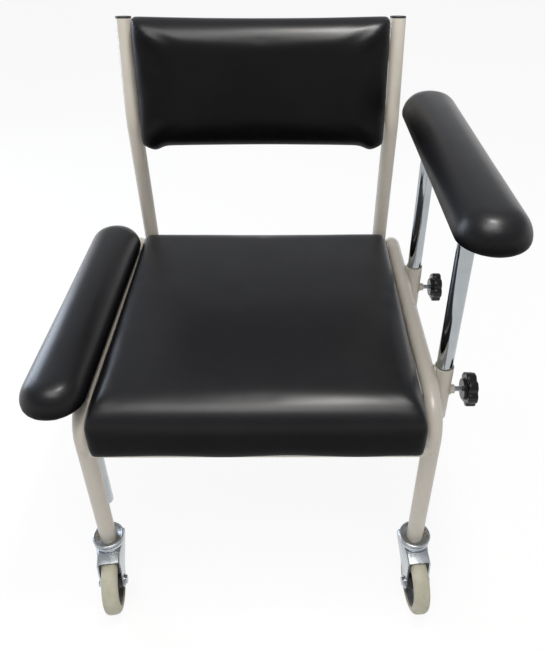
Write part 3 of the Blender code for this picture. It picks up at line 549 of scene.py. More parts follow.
def weldRing(bm, place, reach, bead, ripples):
    # a rippled bead laid round a joint, in the place's own XY plane
    turns = [2 * math.pi * step / weldBead["sides"] for step in range(weldBead["sides"])]
    circle = [(reach + bead * math.cos(turn), bead * math.sin(turn)) for turn in turns]
    points = lathe(bm, circle, ripples * weldBead["stepsPerRipple"], closed=True)
    for point in points:
        turn = math.atan2(point.co.y, point.co.x)
        middle = Vector((math.cos(turn), math.sin(turn), 0)) * reach
        swell = 1 + weldBead["swell"] * math.sin(ripples * turn)
        point.co = middle + (point.co - middle) * swell
    bmesh.ops.transform(bm, matrix=place, verts=points)
    return points


# shares of the head's radius and height, from its rim over the dome into a round drive recess
screwHead = {"foot": 0.96, "sink": 0.0006, "steps": 24,
             "dome": ((1.0, 0.0), (1.0, 0.25), (0.86, 0.68), (0.60, 0.93), (0.36, 1.0), (0.36, 0.35),
                      (0.0, 0.30))}


def hangScrew(bm, point, radius, height):
    profile = [(radius * screwHead["foot"], -screwHead["sink"])]
    profile += [(radius * across, height * up) for across, up in screwHead["dome"]]
    lathe(bm, profile, screwHead["steps"], setAt(point, (0, 0, -1)))


# Tubes of the frame

frameTube = {"sides": 40, "bendSteps": 14, "bend": 0.053, "cope": 0.5, "weldBead": 0.0022, "weldRipples": 16}
backTube = {"lowerLean": 4.0, "upperLean": 8.5, "footDrop": 0.016, "bendHeight": 0.638, "bend": 0.120,
            "topHeight": 0.797, "bendSteps": 10, "gap": 0.0003, "weldShare": 0.62}


def makeSideFrames():
    bend = frameTube["bend"]
    quarter = math.pi / 2
    for side in sideSigns:
        low, high, middle = nodeBox(f"{side}_side_frame")
        radius = (high.x - low.x) / 2
        frontY, rearY, railZ = low.y + radius, high.y - radius, high.z - radius
        frontBend = (middle.x, frontY + bend, railZ - bend)
        rearBend = (middle.x, rearY - bend, railZ - bend)
        bm = bmesh.new()
        ring = startRing(bm, radius, frameTube["sides"], Matrix.Translation((middle.x, frontY, low.z)))
        ring = runStraight(bm, ring, (0, 0, railZ - bend - low.z))
        ring = runBend(bm, ring, frontBend, -quarter, frameTube["bendSteps"])
        ring = runStraight(bm, ring, (0, rearY - frontY - 2 * bend, 0))
        ring = runBend(bm, ring, rearBend, -quarter, frameTube["bendSteps"])
        runStraight(bm, ring, (0, 0, low.z - railZ + bend))
        closeEnds(bm)
        finishPiece(f"{side}SideTube", bm, "frame", "framePaint", f"{side}_side_frame")


def makeCrossRails():
    legX = nodeBox("right_side_frame")[2].x
    for end in armEnds:
        low, high, middle = nodeBox(f"{end}_cross_rail")
        radius = (high.z - low.z) / 2
        reach = legX - radius * frameTube["cope"]   # the end runs into the leg, under its weld
        bm = bmesh.new()
        ring = startRing(bm, radius, frameTube["sides"], setAt((-reach, middle.y, middle.z), (1, 0, 0)))
        runStraight(bm, ring, (2 * reach, 0, 0))
        closeEnds(bm)
        for sign in sideSigns.values():
            points = weldRing(bm, setAt(middle, (1, 0, 0)), radius, frameTube["weldBead"],
                              frameTube["weldRipples"])
            for point in points:                 # the bead follows the leg's round
                across = min(abs(point.co.y - middle.y), radius)
                point.co.x = sign * (legX - math.sqrt(max(radius ** 2 - across ** 2, 0)) + point.co.x)
        finishPiece(f"{end}CrossRail", bm, "frame", "framePaint", f"{end}_cross_rail")


def backPlaces():
    # where an upright's axis passes the rail, its foot, bend and top, and its two directions
    low, high, rail = nodeBox("rear_cross_rail")
    tube = high.z - low.z
    lower, upper = math.radians(backTube["lowerLean"]), math.radians(backTube["upperLean"])
    lowerRun = Vector((0, -math.sin(lower), math.cos(lower)))
    upperRun = Vector((0, math.sin(upper), math.cos(upper)))
    rearward = Vector((0, lowerRun.z, -lowerRun.y))
    touching = Vector((0, rail.y, rail.z)) - rearward * (tube + backTube["gap"])
    foot = touching - lowerRun * backTube["footDrop"]
    bend = foot + lowerRun * ((backTube["bendHeight"] - foot.z) / lowerRun.z)
    top = bend + upperRun * ((backTube["topHeight"] - bend.z) / upperRun.z)
    return touching, foot, bend, top, lowerRun, upperRun, rearward, tube / 2


def makeUprights():
    touching, foot, bend, top, lowerRun, upperRun, rearward, radius = backPlaces()
    angle = lowerRun.angle(upperRun)
    reach = backTube["bend"] * math.tan(angle / 2)
    start = bend - lowerRun * reach
    for side in sideSigns:
        x = Vector((nodeBox(f"{side}_back_upright")[2].x, 0, 0))
        bm = bmesh.new()
        ring = startRing(bm, radius, frameTube["sides"], setAt(x + foot, lowerRun))
        ring = runStraight(bm, ring, start - foot)
        ring = runBend(bm, ring, x + start + rearward * backTube["bend"], -angle, backTube["bendSteps"])
        runStraight(bm, ring, top - bend - upperRun * reach)
        closeEnds(bm)
        weldRing(bm, setAt(x + touching + rearward * radius, (0, 1, 0)), radius * backTube["weldShare"],
                 frameTube["weldBead"], frameTube["weldRipples"])
        finishPiece(f"{side}Upright", bm, "frame", "framePaint", f"{side}_back_upright")
        makeUprightCap(side, setAt(x + top, upperRun), radius)


capPlug = {"height": 0.003, "gap": 0.0003, "edge": 0.0009, "steps": 40}


def makeUprightCap(side, place, radius):
    bm = bmesh.new()
    base, crown = capPlug["gap"], capPlug["height"]
    lathe(bm, [(0, base), (radius, base), (radius, crown), (0, crown)], capPlug["steps"], place)
    softenEdges(bm, capPlug["edge"], 3)
    finishPiece(f"{side}UprightCap", bm, "frame", "moulding", f"{side}_upright_cap")


bearerTube = {"corner": 0.0025, "cornerSteps": 4, "wall": 0.0015}


def makeBearers():
    for side in sideSigns:
        low, high, middle = nodeBox(f"{side}_seat_bearer")
        bm = bmesh.new()
        addBox(bm, high - low, middle)
        ends = [face for face in bm.faces if abs(face.normal.y) > 0.9]
        bmesh.ops.delete(bm, geom=ends, context="FACES_ONLY")
        bevelEdges(bm, edgesAlong(bm, 1), bearerTube["corner"], bearerTube["cornerSteps"])
        bmesh.ops.recalc_face_normals(bm, faces=bm.faces)
        bmesh.ops.solidify(bm, geom=bm.faces, thickness=bearerTube["wall"])
        finishPiece(f"{side}SeatBearer", bm, "frame", "framePaint", f"{side}_seat_bearer")


makeSideFrames()
makeCrossRails()
makeUprights()
makeBearers()
print("frame tubes done")

# Armrest sockets, posts, plates and clamp screws

socketTube = {"bore": 0.0123, "steps": 40, "rim": 0.0005, "clampDrop": 0.046, "nutFlats": 0.013,
              "nutHeight": 0.0065, "nutSunk": 0.72, "nutEdge": 0.0009, "weldReach": 0.0057,
              "weldBead": 0.0023, "weldRipples": 11, "weldSunk": 0.0006,
              "nutWeldReach": 1.02, "nutWeldBead": 0.55, "nutWeldRipples": 9}
postTube = {"wall": 0.0015, "steps": 40, "rim": 0.0004}
clampStud = {"pitch": 0.00125, "stepsPerTurn": 16, "depth": 0.00070, "crest": (0.42, 0.58), "end": 0.0008,
             "tipShare": 0.86}
clampKnob = {"lobes": 7, "pointsPerLobe": 14, "lobeDepth": 0.0034, "flutePower": 3, "edge": 0.0022,
             "edgeSteps": 4, "rimShare": 0.3456, "dishSlope": 0.0016, "dish": 0.0012,
             "bossHeight": 0.0045, "bossSteps": 40,
             "boss": ((0, 0.0045), (0.01802, 0.0049), (0.017, 0.0036), (0.01564, 0), (0, 0))}
armPlate = {"edge": 0.0012, "endShare": 0.497, "endSegments": 9, "screwRadius": 0.0045, "screwHeight": 0.0026,
            "screwAt": 0.22}


def makeSocket(side, end, sign):
    socket = socketTube
    low, high, middle = nodeBox(f"{side}_{end}_arm_socket")
    railLow, railHigh, rail = nodeBox(f"{side}_side_frame")
    radius = (high.y - low.y) / 2
    centre = Vector((low.x + radius if sign > 0 else high.x - radius, middle.y, high.z))
    length, bore = high.z - low.z, socket["bore"]
    bm = bmesh.new()
    lathe(bm, [(radius, 0), (radius, -length), (bore, -length), (bore, 0)], socket["steps"],
          Matrix.Translation(centre), closed=True)
    softenEdges(bm, socket["rim"])
    clampAxis = setAt(centre - Vector((0, 0, socket["clampDrop"])), (sign, 0, 0))
    nutRadius = socket["nutFlats"] / math.sqrt(3)
    inside, outside = radius * socket["nutSunk"], radius + socket["nutHeight"]
    addHex(bm, nutRadius, outside - inside, clampAxis @ Matrix.Translation((0, 0, (inside + outside) / 2)),
           socket["nutEdge"])
    weldRing(bm, clampAxis @ Matrix.Translation((0, 0, radius - socket["weldSunk"])),
             nutRadius * socket["nutWeldReach"], socket["weldBead"] * socket["nutWeldBead"],
             socket["nutWeldRipples"])
    railZ = railHigh.z - (railHigh.x - railLow.x) / 2
    seam = Vector(((rail.x + centre.x) / 2 - sign * socket["weldSunk"], centre.y, railZ))
    weldRing(bm, setAt(seam, (sign, 0, 0)), socket["weldReach"], socket["weldBead"], socket["weldRipples"])
    finishPiece(f"{side}{end.title()}Socket", bm, "frame", "framePaint", f"{side}_{end}_arm_socket")


def makePost(side, end):
    low, high, middle = nodeBox(f"{side}_{end}_arm_post")
    radius = (high.x - low.x) / 2
    inner = radius - postTube["wall"]
    bm = bmesh.new()
    lathe(bm, [(radius, low.z), (radius, high.z), (inner, high.z), (inner, low.z)], postTube["steps"],
          Matrix.Translation((middle.x, middle.y, 0)), closed=True)
    softenEdges(bm, postTube["rim"])
    finishPiece(f"{side}{end.title()}Post", bm, f"{side}_arm", "chromePlate", f"{side}_{end}_arm_post")


def makeStud(side, end, sign):
    # a helical thread: one pitch of its profile, turned and moved along the axis
    stud, node = clampStud, f"{side}_{end}_clamp_stud"
    low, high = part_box(node)
    radius, length = (high.z - low.z) / 2, high.x - low.x
    pitch, start, steps = stud["pitch"], stud["end"], stud["stepsPerTurn"]
    root = radius - stud["depth"]
    turns = int((length - 2 * start) / pitch) - 1
    thread = [(root, 0), *((radius, share) for share in stud["crest"]), (root, 1)]
    bm = bmesh.new()
    points = [bm.verts.new((out, 0, start + pitch * share)) for out, share in thread]
    edges = [bm.edges.new(pair) for pair in zip(points, points[1:])]
    bmesh.ops.spin(bm, geom=points + edges, cent=(0, 0, 0), axis=(0, 0, 1), angle=2 * math.pi * turns,
                   dvec=(0, 0, pitch / steps), steps=steps * turns, use_merge=False)
    lathe(bm, [(0, 0), (root * stud["tipShare"], 0), (root, start), (root, length), (0, length)], steps)
    finishPiece(f"{side}{end.title()}Stud", bm, f"{side}_{end}_stud", "zincPlate", node,
                place=outwardPlace(node, sign))


def makeKnob(side, end, sign):
    knob, node = clampKnob, f"{side}_{end}_clamp_knob"
    low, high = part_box(node)
    radius = max(high.z - low.z, high.y - low.y) / 2
    boss = knob["bossHeight"]
    body = high.x - low.x - boss
    bm = bmesh.new()
    bmesh.ops.create_cone(bm, cap_ends=True, segments=knob["lobes"] * knob["pointsPerLobe"], radius1=radius,
                          radius2=radius, depth=body, matrix=Matrix.Translation((0, 0, boss + body / 2)))
    for point in bm.verts:                       # broad lobes with narrow flutes between them
        turn = math.atan2(point.co.y, point.co.x) * knob["lobes"]
        flute = (0.5 + 0.5 * math.cos(turn)) ** knob["flutePower"]
        point.co.xy *= 1 - knob["lobeDepth"] * flute / radius
    softenEdges(bm, knob["edge"], knob["edgeSteps"], angle=60)
    outer = max(bm.faces, key=lambda face: face.calc_center_median().z)
    for inset in (radius * knob["rimShare"], knob["dishSlope"]):
        bmesh.ops.inset_region(bm, faces=[outer], thickness=inset)
    bmesh.ops.translate(bm, vec=(0, 0, -knob["dish"]), verts=outer.verts)
    lathe(bm, knob["boss"], knob["bossSteps"])
    finishPiece(f"{side}{end.title()}Knob", bm, f"{side}_{end}_knob", "knobPlastic", node, sharp=50,
                place=outwardPlace(node, sign))


def makePlate(side):
    low, high, middle = nodeBox(f"{side}_armrest_plate")
    bm = bmesh.new()
    addBox(bm, high - low, middle)
    bevelEdges(bm, edgesAlong(bm, 2), (high.x - low.x) * armPlate["endShare"], armPlate["endSegments"])
    softenEdges(bm, armPlate["edge"], angle=60)
    for share in (-armPlate["screwAt"], armPlate["screwAt"]):
        hangScrew(bm, (middle.x, middle.y + share * (high.y - low.y), low.z), armPlate["screwRadius"],
                  armPlate["screwHeight"])
    finishPiece(f"{side}ArmPlate", bm, f"{side}_arm", "framePaint", f"{side}_armrest_plate")


for side, sign in sideSigns.items():
    for end in armEnds:
        makeSocket(side, end, sign)
        makePost(side, end)
        makeStud(side, end, sign)
        makeKnob(side, end, sign)
    makePlate(side)
print("arm hardware done")

# Castors, built with the swivel axis up through the origin and the wheel trailing to -Y

castorHead = {"dish": ((0, 0.1187), (0.0128, 0.1187), (0.0158, 0.1193), (0.0187, 0.1206)),   # radius and height
              "rim": ((0.0222, 0.1222), 0.0023, 200, -60, 14),   # centre, radius, first and last turn, steps
              "skirt": ((0.0224, 0.1185), (0.0234, 0.1177), (0.0226, 0.1163)),
              "kingpin": 0.0060, "rivet": 0.0095, "rivetTop": 0.1060, "rivetHeight": 0.0045, "rivetSteps": 6,
              "steps": 56}
castorFork = {"half": 0.018, "sheet": 0.0022, "top": 0.1085, "flat": 0.024, "visor": 0.015, "visorDrop": 0.0043,
              "back": 0.021, "backDepth": 0.015, "eye": 0.0115, "eyeSteps": 12, "bend": 0.004, "bendSteps": 5,
              "trail": 0.034, "axle": 0.050, "flare": 0.0045, "flareDepth": 0.050,
              "flatCuts": (1.0, 0.75, 0.5, 0.25, 0.0), "flareCuts": (0.0, 0.3, 0.6), "raceSteps": 56,
              "race": ((0, 0.1075), (0.021855, 0.1075), (0.02256, 0.1095), (0.0235, 0.1115), (0.0235, 0.1130),
                       (0.02256, 0.1152), (0.02115, 0.1160), (0, 0.1160))}
axleBolt = {"radius": 0.0049, "steps": 24, "flats": 0.013, "height": 0.0040, "edge": 0.0006, "gap": 0.0003,
            "washer": 0.0088, "washerHeight": 0.0010, "washerSteps": 32}
wheelHub = {"half": ((0.0053, 0.0153), (0.0110, 0.0153), (0.0122, 0.0060), (0.0150, 0.0040), (0.031826, 0.0040),
                     (0.0344693, 0.0105), (0.0377, 0.0105)),   # from the bore over boss and web to the rim
            "steps": 56, "edge": 0.0006}
tyre = {"seat": 0.0381, "outer": 0.0500, "half": 0.0125, "square": 3.0, "samples": 18, "steps": 72}
brakePedal = {"half": 0.0205, "sheet": 0.0022, "rootBack": 0.0475, "rootHeight": 0.1060, "length": 0.058,
              "slope": 4.5, "earRun": 0.012, "pivot": (-0.0305, 0.094), "ear": 0.006,
              "earTurns": (230, 410, 10),         # first and last turn, steps
              "toe": (0.003, 0.006), "fold": 0.0016, "foldSteps": 3, "pin": 0.0025, "pinSteps": 20,
              "pinHead": ((1.5, 0.0), (1.2, 0.0009), (0.0, 0.0011))}


def makeHead(corner, place):
    head = castorHead
    pin, rivet, top = head["kingpin"], head["rivet"], head["rivetTop"]
    profile = [*head["dish"], *arcPoints(*head["rim"]), *head["skirt"], (pin, head["skirt"][-1][1]), (pin, top),
               (rivet, top)]
    for step in range(1, head["rivetSteps"] + 1):
        turn = math.pi / 2 * step / head["rivetSteps"]
        profile.append((rivet * math.cos(turn), top - head["rivetHeight"] * math.sin(turn)))
    bm = bmesh.new()
    lathe(bm, profile, head["steps"], place)
    finishPiece(f"{corner}Head", bm, "frame", "zincPlate", f"{corner}_castor_head", sharp=40)


def makeFork(corner, place):
    fork = castorFork
    top, flat, depth = fork["top"], fork["flat"], fork["flareDepth"]
    outline = [(-flat, top), (-flat - fork["visor"], top - fork["visorDrop"])]
    outline += arcPoints((-fork["trail"], fork["axle"]), fork["eye"], 180, 360, fork["eyeSteps"])
    outline += [(fork["back"], top - fork["backDepth"]), (fork["back"], top)]
    bm = bmesh.new()
    cheek = bm.faces.new([bm.verts.new((-fork["half"], y, z)) for y, z in outline])
    extrudeFaces(bm, [cheek], (2 * fork["half"], 0, 0))
    bmesh.ops.recalc_face_normals(bm, faces=bm.faces)
    lowest = top - fork["visorDrop"] - 0.001
    openings = [face for face in bm.faces if abs(face.normal.x) < 0.5
                and any(point.co.z < lowest for point in face.verts)]
    bmesh.ops.delete(bm, geom=openings, context="FACES_ONLY")
    crossing = set(edgesAlong(bm, 0))
    folds = [edge for edge in bm.edges if len(edge.link_faces) == 2 and edge not in crossing]
    bevelEdges(bm, folds, fork["bend"], fork["bendSteps"])
    cuts = [((0, -flat * share, 0), (0, 1, 0)) for share in fork["flatCuts"]]
    cuts += [((0, 0, top - depth + depth * share), (0, 0, 1)) for share in fork["flareCuts"]]
    for at, across in cuts:
        bmesh.ops.bisect_plane(bm, geom=[*bm.verts, *bm.edges, *bm.faces], dist=sameSpot, plane_co=at,
                               plane_no=across)
    for point in bm.verts:                       # the cheeks spread towards the raceway, behind the visor
        spread = clamp(1 + point.co.y / flat) * clamp((point.co.z - top + depth) / depth)
        point.co.x *= 1 + fork["flare"] * spread / fork["half"]
    splitLargeFaces(bm)
    bmesh.ops.recalc_face_normals(bm, faces=bm.faces)
    faceUp(bm, lambda face: face.calc_center_median().z)
    bmesh.ops.solidify(bm, geom=bm.faces, thickness=fork["sheet"])
    lathe(bm, fork["race"], fork["raceSteps"])
    finishPiece(f"{corner}Fork", bm, f"{corner}_swivel", "zincPlate", f"{corner}_castor_fork", sharp=35,
                place=place)


def makeAxle(corner, axle):
    bolt = axleBolt
    radius, seat = bolt["radius"], castorFork["half"] + bolt["gap"]
    hexRadius = bolt["flats"] / math.sqrt(3)
    bm = bmesh.new()
    lathe(bm, [(0, -seat), (radius, -seat), (radius, seat), (0, seat)], bolt["steps"])
    for sign in (-1, 1):
        face, back = sign * seat, sign * (seat + bolt["washerHeight"])
        lathe(bm, [(0, face), (bolt["washer"], face), (bolt["washer"], back), (0, back)], bolt["washerSteps"])
        addHex(bm, hexRadius, bolt["height"], Matrix.Translation((0, 0, sign * (seat + bolt["height"] / 2))),
               bolt["edge"])
    finishPiece(f"{corner}Axle", bm, f"{corner}_swivel", "zincPlate", f"{corner}_axle_bolt", place=axle)


def makeWheel(corner, axle):
    half = list(wheelHub["half"])
    bm = bmesh.new()
    lathe(bm, half + [(radius, -height) for radius, height in reversed(half)], wheelHub["steps"], closed=True)
    softenEdges(bm, wheelHub["edge"], angle=35)
    finishPiece(f"{corner}Hub", bm, f"{corner}_wheel", "moulding", f"{corner}_wheel_hub",
                place=axle)
    depth = tyre["outer"] - tyre["seat"]
    power = 2 / tyre["square"]
    profile = []
    for step in range(tyre["samples"] + 1):
        turn = math.pi * (step / tyre["samples"] - 0.5)
        share = math.copysign(abs(math.sin(turn)) ** power, turn)
        rise = math.cos(turn) ** power if abs(math.cos(turn)) > 1e-9 else 0.0
        profile.append((tyre["seat"] + depth * rise, tyre["half"] * share))
    bm = bmesh.new()
    lathe(bm, profile, tyre["steps"], closed=True)
    finishPiece(f"{corner}Tyre", bm, f"{corner}_wheel", "tyreRubber", f"{corner}_tyre", sharp=60, place=axle)


def makePedal(corner, place):
    pedal = brakePedal
    slope, half, pivot = math.radians(pedal["slope"]), pedal["half"], pedal["pivot"]
    root = Vector((0, -pedal["rootBack"], pedal["rootHeight"]))
    run = Vector((0, -math.cos(slope), -math.sin(slope)))
    stations = [root, root + run * pedal["earRun"], root + run * pedal["length"]]
    stations.append(stations[-1] - Vector((0, *pedal["toe"])))
    bm = bmesh.new()
    rows = [[bm.verts.new(point + Vector((x, 0, 0))) for x in (-half, half)] for point in stations]
    for first, second in zip(rows, rows[1:]):
        bm.faces.new((first[0], first[1], second[1], second[0]))
    for column, x in enumerate((-half, half)):   # an ear folded down at each side, round the pivot
        ear = [bm.verts.new((x, y, z)) for y, z in arcPoints(pivot, pedal["ear"], *pedal["earTurns"])]
        bm.faces.new([rows[1][column]] + ear + [rows[0][column]])
    bmesh.ops.recalc_face_normals(bm, faces=bm.faces)
    folds = [edge for edge in bm.edges if len(edge.link_faces) == 2]
    bevelEdges(bm, folds, pedal["fold"], pedal["foldSteps"])
    faceUp(bm, lambda face: face.calc_area())
    splitLargeFaces(bm)
    bmesh.ops.solidify(bm, geom=bm.faces, thickness=pedal["sheet"])
    inner, pin = castorFork["half"] - castorFork["sheet"], pedal["pin"]
    profile = [(0, inner), (pin, inner), (pin, half)]
    profile += [(pin * share, half + rise) for share, rise in pedal["pinHead"]]
    for sign in (-1, 1):
        lathe(bm, profile, pedal["pinSteps"], setAt((0, *pivot), (sign, 0, 0)))
    finishPiece(f"{corner}Pedal", bm, f"{corner}_pedal", "zincPlate", f"{corner}_brake_pedal", sharp=35,
                place=place)


for corner in castorCorners:
    swivel = Vector(joints[f"{corner}_swivel_turn"]["pos_m"])
    roll = joints[f"{corner}_wheel_roll"]
    turn = Matrix.Rotation(math.atan2(roll["axis"][1], roll["axis"][0]), 4, "Z")
    place = Matrix.Translation((swivel.x, swivel.y, 0)) @ turn
    axle = Matrix.Translation(roll["pos_m"]) @ turn @ Matrix.Rotation(math.pi / 2, 4, "Y")
    makeHead(corner, place)
    makeFork(corner, place)
    makeAxle(corner, axle)
    makeWheel(corner, axle)
    if f"{corner}_brake_press" in joints:
        makePedal(corner, place)
print("castors done")

# Upholstery: a block with a rolled rim, remeshed, blown up as cloth over its held underside, then tidied

seatCushion = {"slack": 0.0004, "headroom": 0.004, "roll": 0.036, "corner": 0.010, "foot": 0.002,
               "voxel": 0.0050, "narrow": {"front": 0.72, "rear": 0.24},   # shares of the roll's width
               "crown": 0.002, "draw": (0.0, 0.0), "drop": 0.005,
               "pressure": 1.5, "cap": (0.0002, 0.0004, 0.0014), "held": 0.16, "smoothing": 6,
               "ripple": 0.0004, "pleat": 0.0005, "hem": 0.0075, "ear": 0.0, "tuck": 0.0012, "fill": 0.75}
backCushion = {"slack": -0.0012, "headroom": 0.006, "roll": 0.031, "corner": 0.005, "foot": 0.004,
               "voxel": 0.0042, "crown": 0.004, "draw": (0.0, 0.003), "drop": 0.0,
               "pressure": 2.5, "cap": (0.0003, 0.0005, 0.0018), "held": 0.20, "smoothing": 5,
               "ripple": 0.0004, "pleat": 0.0004, "hem": 0.0, "ear": 0.0065, "tuck": 0.0012, "fill": 0.75}
armPad = {"slack": 0.0010, "headroom": 0.004, "roll": 0.0335, "foot": 0.007, "voxel": 0.0042, "endSides": 48,
          "crown": 0.002, "draw": (0.0004, 0.0), "drop": 0.0,
          "pressure": 3.0, "cap": (0.0014, 0.0014, 0.003), "held": 0.18, "smoothing": 4,
          "ripple": 0.0003, "pleat": 0.0, "hem": 0.0, "ear": 0.0, "tuck": 0.0, "fill": 0.85}
coverBlock = {"rollSteps": 6, "cornerSteps": 4, "footSteps": 3, "noseFrom": 0.7, "noseRun": 0.3}
clothRun = {"frames": 20, "mass": 0.3, "tension": 25.0, "bending": 8.0}
coverFolds = {"pleats": ((45, 1.0, 0.060), (31, 0.55, 0.045), (59, 0.55, 0.045)),   # degrees, weight and reach
              "pleatStart": 0.35, "pleatWidth": 0.0060, "rippleScale": 14.0,
              "underside": 0.04, "tuckInset": 0.012,   # what is drawn up under the board
              "earInset": 0.021, "earWidth": 0.013, "earFrom": 0.8, "earRun": 0.2,
              "hemScale": 11, "hemSway": 0.5, "hemDrop": 0.9, "hemFrom": 0.86, "hemRun": 0.08, "hemFade": 6}


def bevelWhere(bm, chosen, offset, segments):
    edges = [edge for edge in bm.edges if chosen(*sorted(end.co.z for end in edge.verts))]
    bevelEdges(bm, edges, offset, segments)


def paddedBlock(size, pad):
    # stands on z = 0; the rolled rim mitres at its corners, as pulled cover does
    width, depth = size[0] - 2 * pad["slack"], size[1] - 2 * pad["slack"]
    height = size[2] - pad["headroom"]
    near = 1e-5
    bm = bmesh.new()
    if "endSides" in pad:                        # a long pad with round ends
        sides = pad["endSides"]
        bmesh.ops.create_circle(bm, cap_ends=True, radius=width / 2, segments=sides,
                                matrix=Matrix.Rotation(math.pi / sides, 4, "Z"))
        for point in bm.verts:
            point.co.y += math.copysign((depth - width) / 2, point.co.y)
        extrudeFaces(bm, bm.faces[:], (0, 0, height))
    else:
        addBox(bm, (width, depth, height), (0, 0, height / 2))
    bmesh.ops.recalc_face_normals(bm, faces=bm.faces)
    bevelWhere(bm, lambda low, high: low > height - near, pad["roll"], coverBlock["rollSteps"])
    if "corner" in pad:
        bevelWhere(bm, lambda low, high: low < near and high > 0.001, pad["corner"], coverBlock["cornerSteps"])
    bevelWhere(bm, lambda low, high: high < near, pad["foot"], coverBlock["footSteps"])
    if "narrow" in pad:
        narrowRolls(bm, width / 2, depth / 2, pad)
    bmesh.ops.recalc_face_normals(bm, faces=bm.faces)
    return bm


def narrowRolls(bm, halfWidth, halfDepth, pad):
    # all rolls but the front one get narrower, most at the rear
    roll = pad["roll"]
    innerX, innerY = halfWidth - roll, halfDepth - roll
    rear = pad["narrow"]["rear"]
    for point in bm.verts:
        x, y = abs(point.co.x), point.co.y
        share = pad["narrow"]["front"] if y < 0 else rear
        grown = halfWidth - share * (halfWidth - x) if x > innerX else x * (halfWidth - share * roll) / innerX
        point.co.x = math.copysign(grown, point.co.x)
        if y > innerY:
            point.co.y = halfDepth - rear * (halfDepth - y)
        elif y > -innerY:
            point.co.y = -innerY + (y + innerY) * (halfDepth - rear * roll + innerY) / (2 * innerY)


def applyModifiers(blank):
    result = bpy.data.meshes.new_from_object(blank.evaluated_get(bpy.context.evaluated_depsgraph_get()))
    blank.modifiers.clear()
    blank.data = result


def remeshed(bm, voxel):
    mesh = bpy.data.meshes.new("blank")
    bm.to_mesh(mesh)
    bm.free()
    blank = bpy.data.objects.new("blank", mesh)
    scene.collection.objects.link(blank)
    grid = blank.modifiers.new("grid", "REMESH")
    grid.mode = "VOXEL"
    grid.voxel_size = voxel
    applyModifiers(blank)
    return blank


def shapeCover(mesh, size, pad):
    # crown, drawn-in sides and a falling front edge, all fading out towards the underside
    for point in mesh.vertices:
        u, v = 2 * point.co.x / size[0], 2 * point.co.y / size[1]
        rise = clamp(point.co.z / size[2])
        nose = max(0.0, (-v - coverBlock["noseFrom"]) / coverBlock["noseRun"]) ** 2
        point.co.z += rise * (pad["crown"] * (1 - u ** 4) * (1 - v ** 4) - pad["drop"] * nose)
        point.co.x -= pad["draw"][0] * u * max(0.0, 1 - v * v)
        point.co.y -= pad["draw"][1] * v * max(0.0, 1 - u * u)


def blowUp(blank, size, pad):
    before = [point.co.copy() for point in blank.data.vertices]
    held = blank.vertex_groups.new(name="held")
    grip = pad["held"] * 0.5                     # share of the height that is held fast
    for index, place in enumerate(before):
        held.add([index], clamp(1 - (place.z / size[2] - grip) / grip), "REPLACE")
    cloth = blank.modifiers.new("cloth", "CLOTH").settings
    cloth.use_pressure = True
    cloth.uniform_pressure_force = pad["pressure"]
    cloth.effector_weights.gravity = 0
    cloth.vertex_group_mass = "held"
    cloth.mass = clothRun["mass"]
    cloth.tension_stiffness = cloth.compression_stiffness = clothRun["tension"]
    cloth.bending_stiffness = clothRun["bending"]
    for step in range(1, clothRun["frames"] + 1):
        scene.frame_set(step)
    applyModifiers(blank)
    scene.frame_set(1)
    for point, place in zip(blank.data.vertices, before):
        moves = zip(point.co - place, pad["cap"])
        point.co = place + Vector([cap * math.tanh(move / cap) for move, cap in moves])


def fitCover(bm, size, pad):
    # the cover's full size again, which smoothing takes a little from
    wide, deep = [max(abs(point.co[axis]) for point in bm.verts) for axis in (0, 1)]
    top = max(point.co.z for point in bm.verts)
    bmesh.ops.scale(bm, verts=bm.verts, vec=(
        (size[0] / 2 - pad["slack"]) / wide, (size[1] / 2 - pad["slack"]) / deep, size[2] / top))


def pleatDepth(inX, inY):
    # how deep the folds from one corner are, at these distances in from its two sides
    depth = 0.0
    for degrees, weight, reach in coverFolds["pleats"]:
        turn = math.radians(degrees)
        along = inX * math.cos(turn) + inY * math.sin(turn)
        aside = -inX * math.sin(turn) + inY * math.cos(turn)
        fade = max(0.0, 1 - abs(along - reach * coverFolds["pleatStart"]) / reach) ** 2
        depth += weight * fade * math.exp(-(aside / coverFolds["pleatWidth"]) ** 2)
    return depth


def foldCover(mesh, size, pad):
    # folds that run in from each upper corner, surplus that hangs at the hem, and slight unevenness
    folds = coverFolds
    halfX, halfY = size[0] / 2, size[1] / 2
    for point in mesh.vertices:
        place = point.co
        rise = clamp(place.z / size[2])
        front = -place.y / halfY
        inX, inY = halfX - abs(place.x), halfY - abs(place.y)
        if rise < folds["underside"] and min(inX, inY) > folds["tuckInset"]:
            place.z += pad["tuck"]
        ear = math.exp(-((inX - folds["earInset"]) / folds["earWidth"]) ** 2)
        ear *= max(0.0, (front - folds["earFrom"]) / folds["earRun"])
        wave = noise.noise(Vector((place.x * folds["hemScale"], 0, 0))) * folds["hemSway"] - folds["hemDrop"]
        wave *= clamp((front - folds["hemFrom"]) / folds["hemRun"]) * (1 - rise) ** folds["hemFade"]
        place.y -= pad["ear"] * ear
        place.z += pad["hem"] * wave
        lift = noise.noise(place * folds["rippleScale"]) * pad["ripple"] * rise
        for x in (-place.x, place.x):
            for y in (-place.y, place.y):
                lift -= pad["pleat"] * rise * pleatDepth(halfX - x, halfY - y)
        point.co = place + point.normal * lift


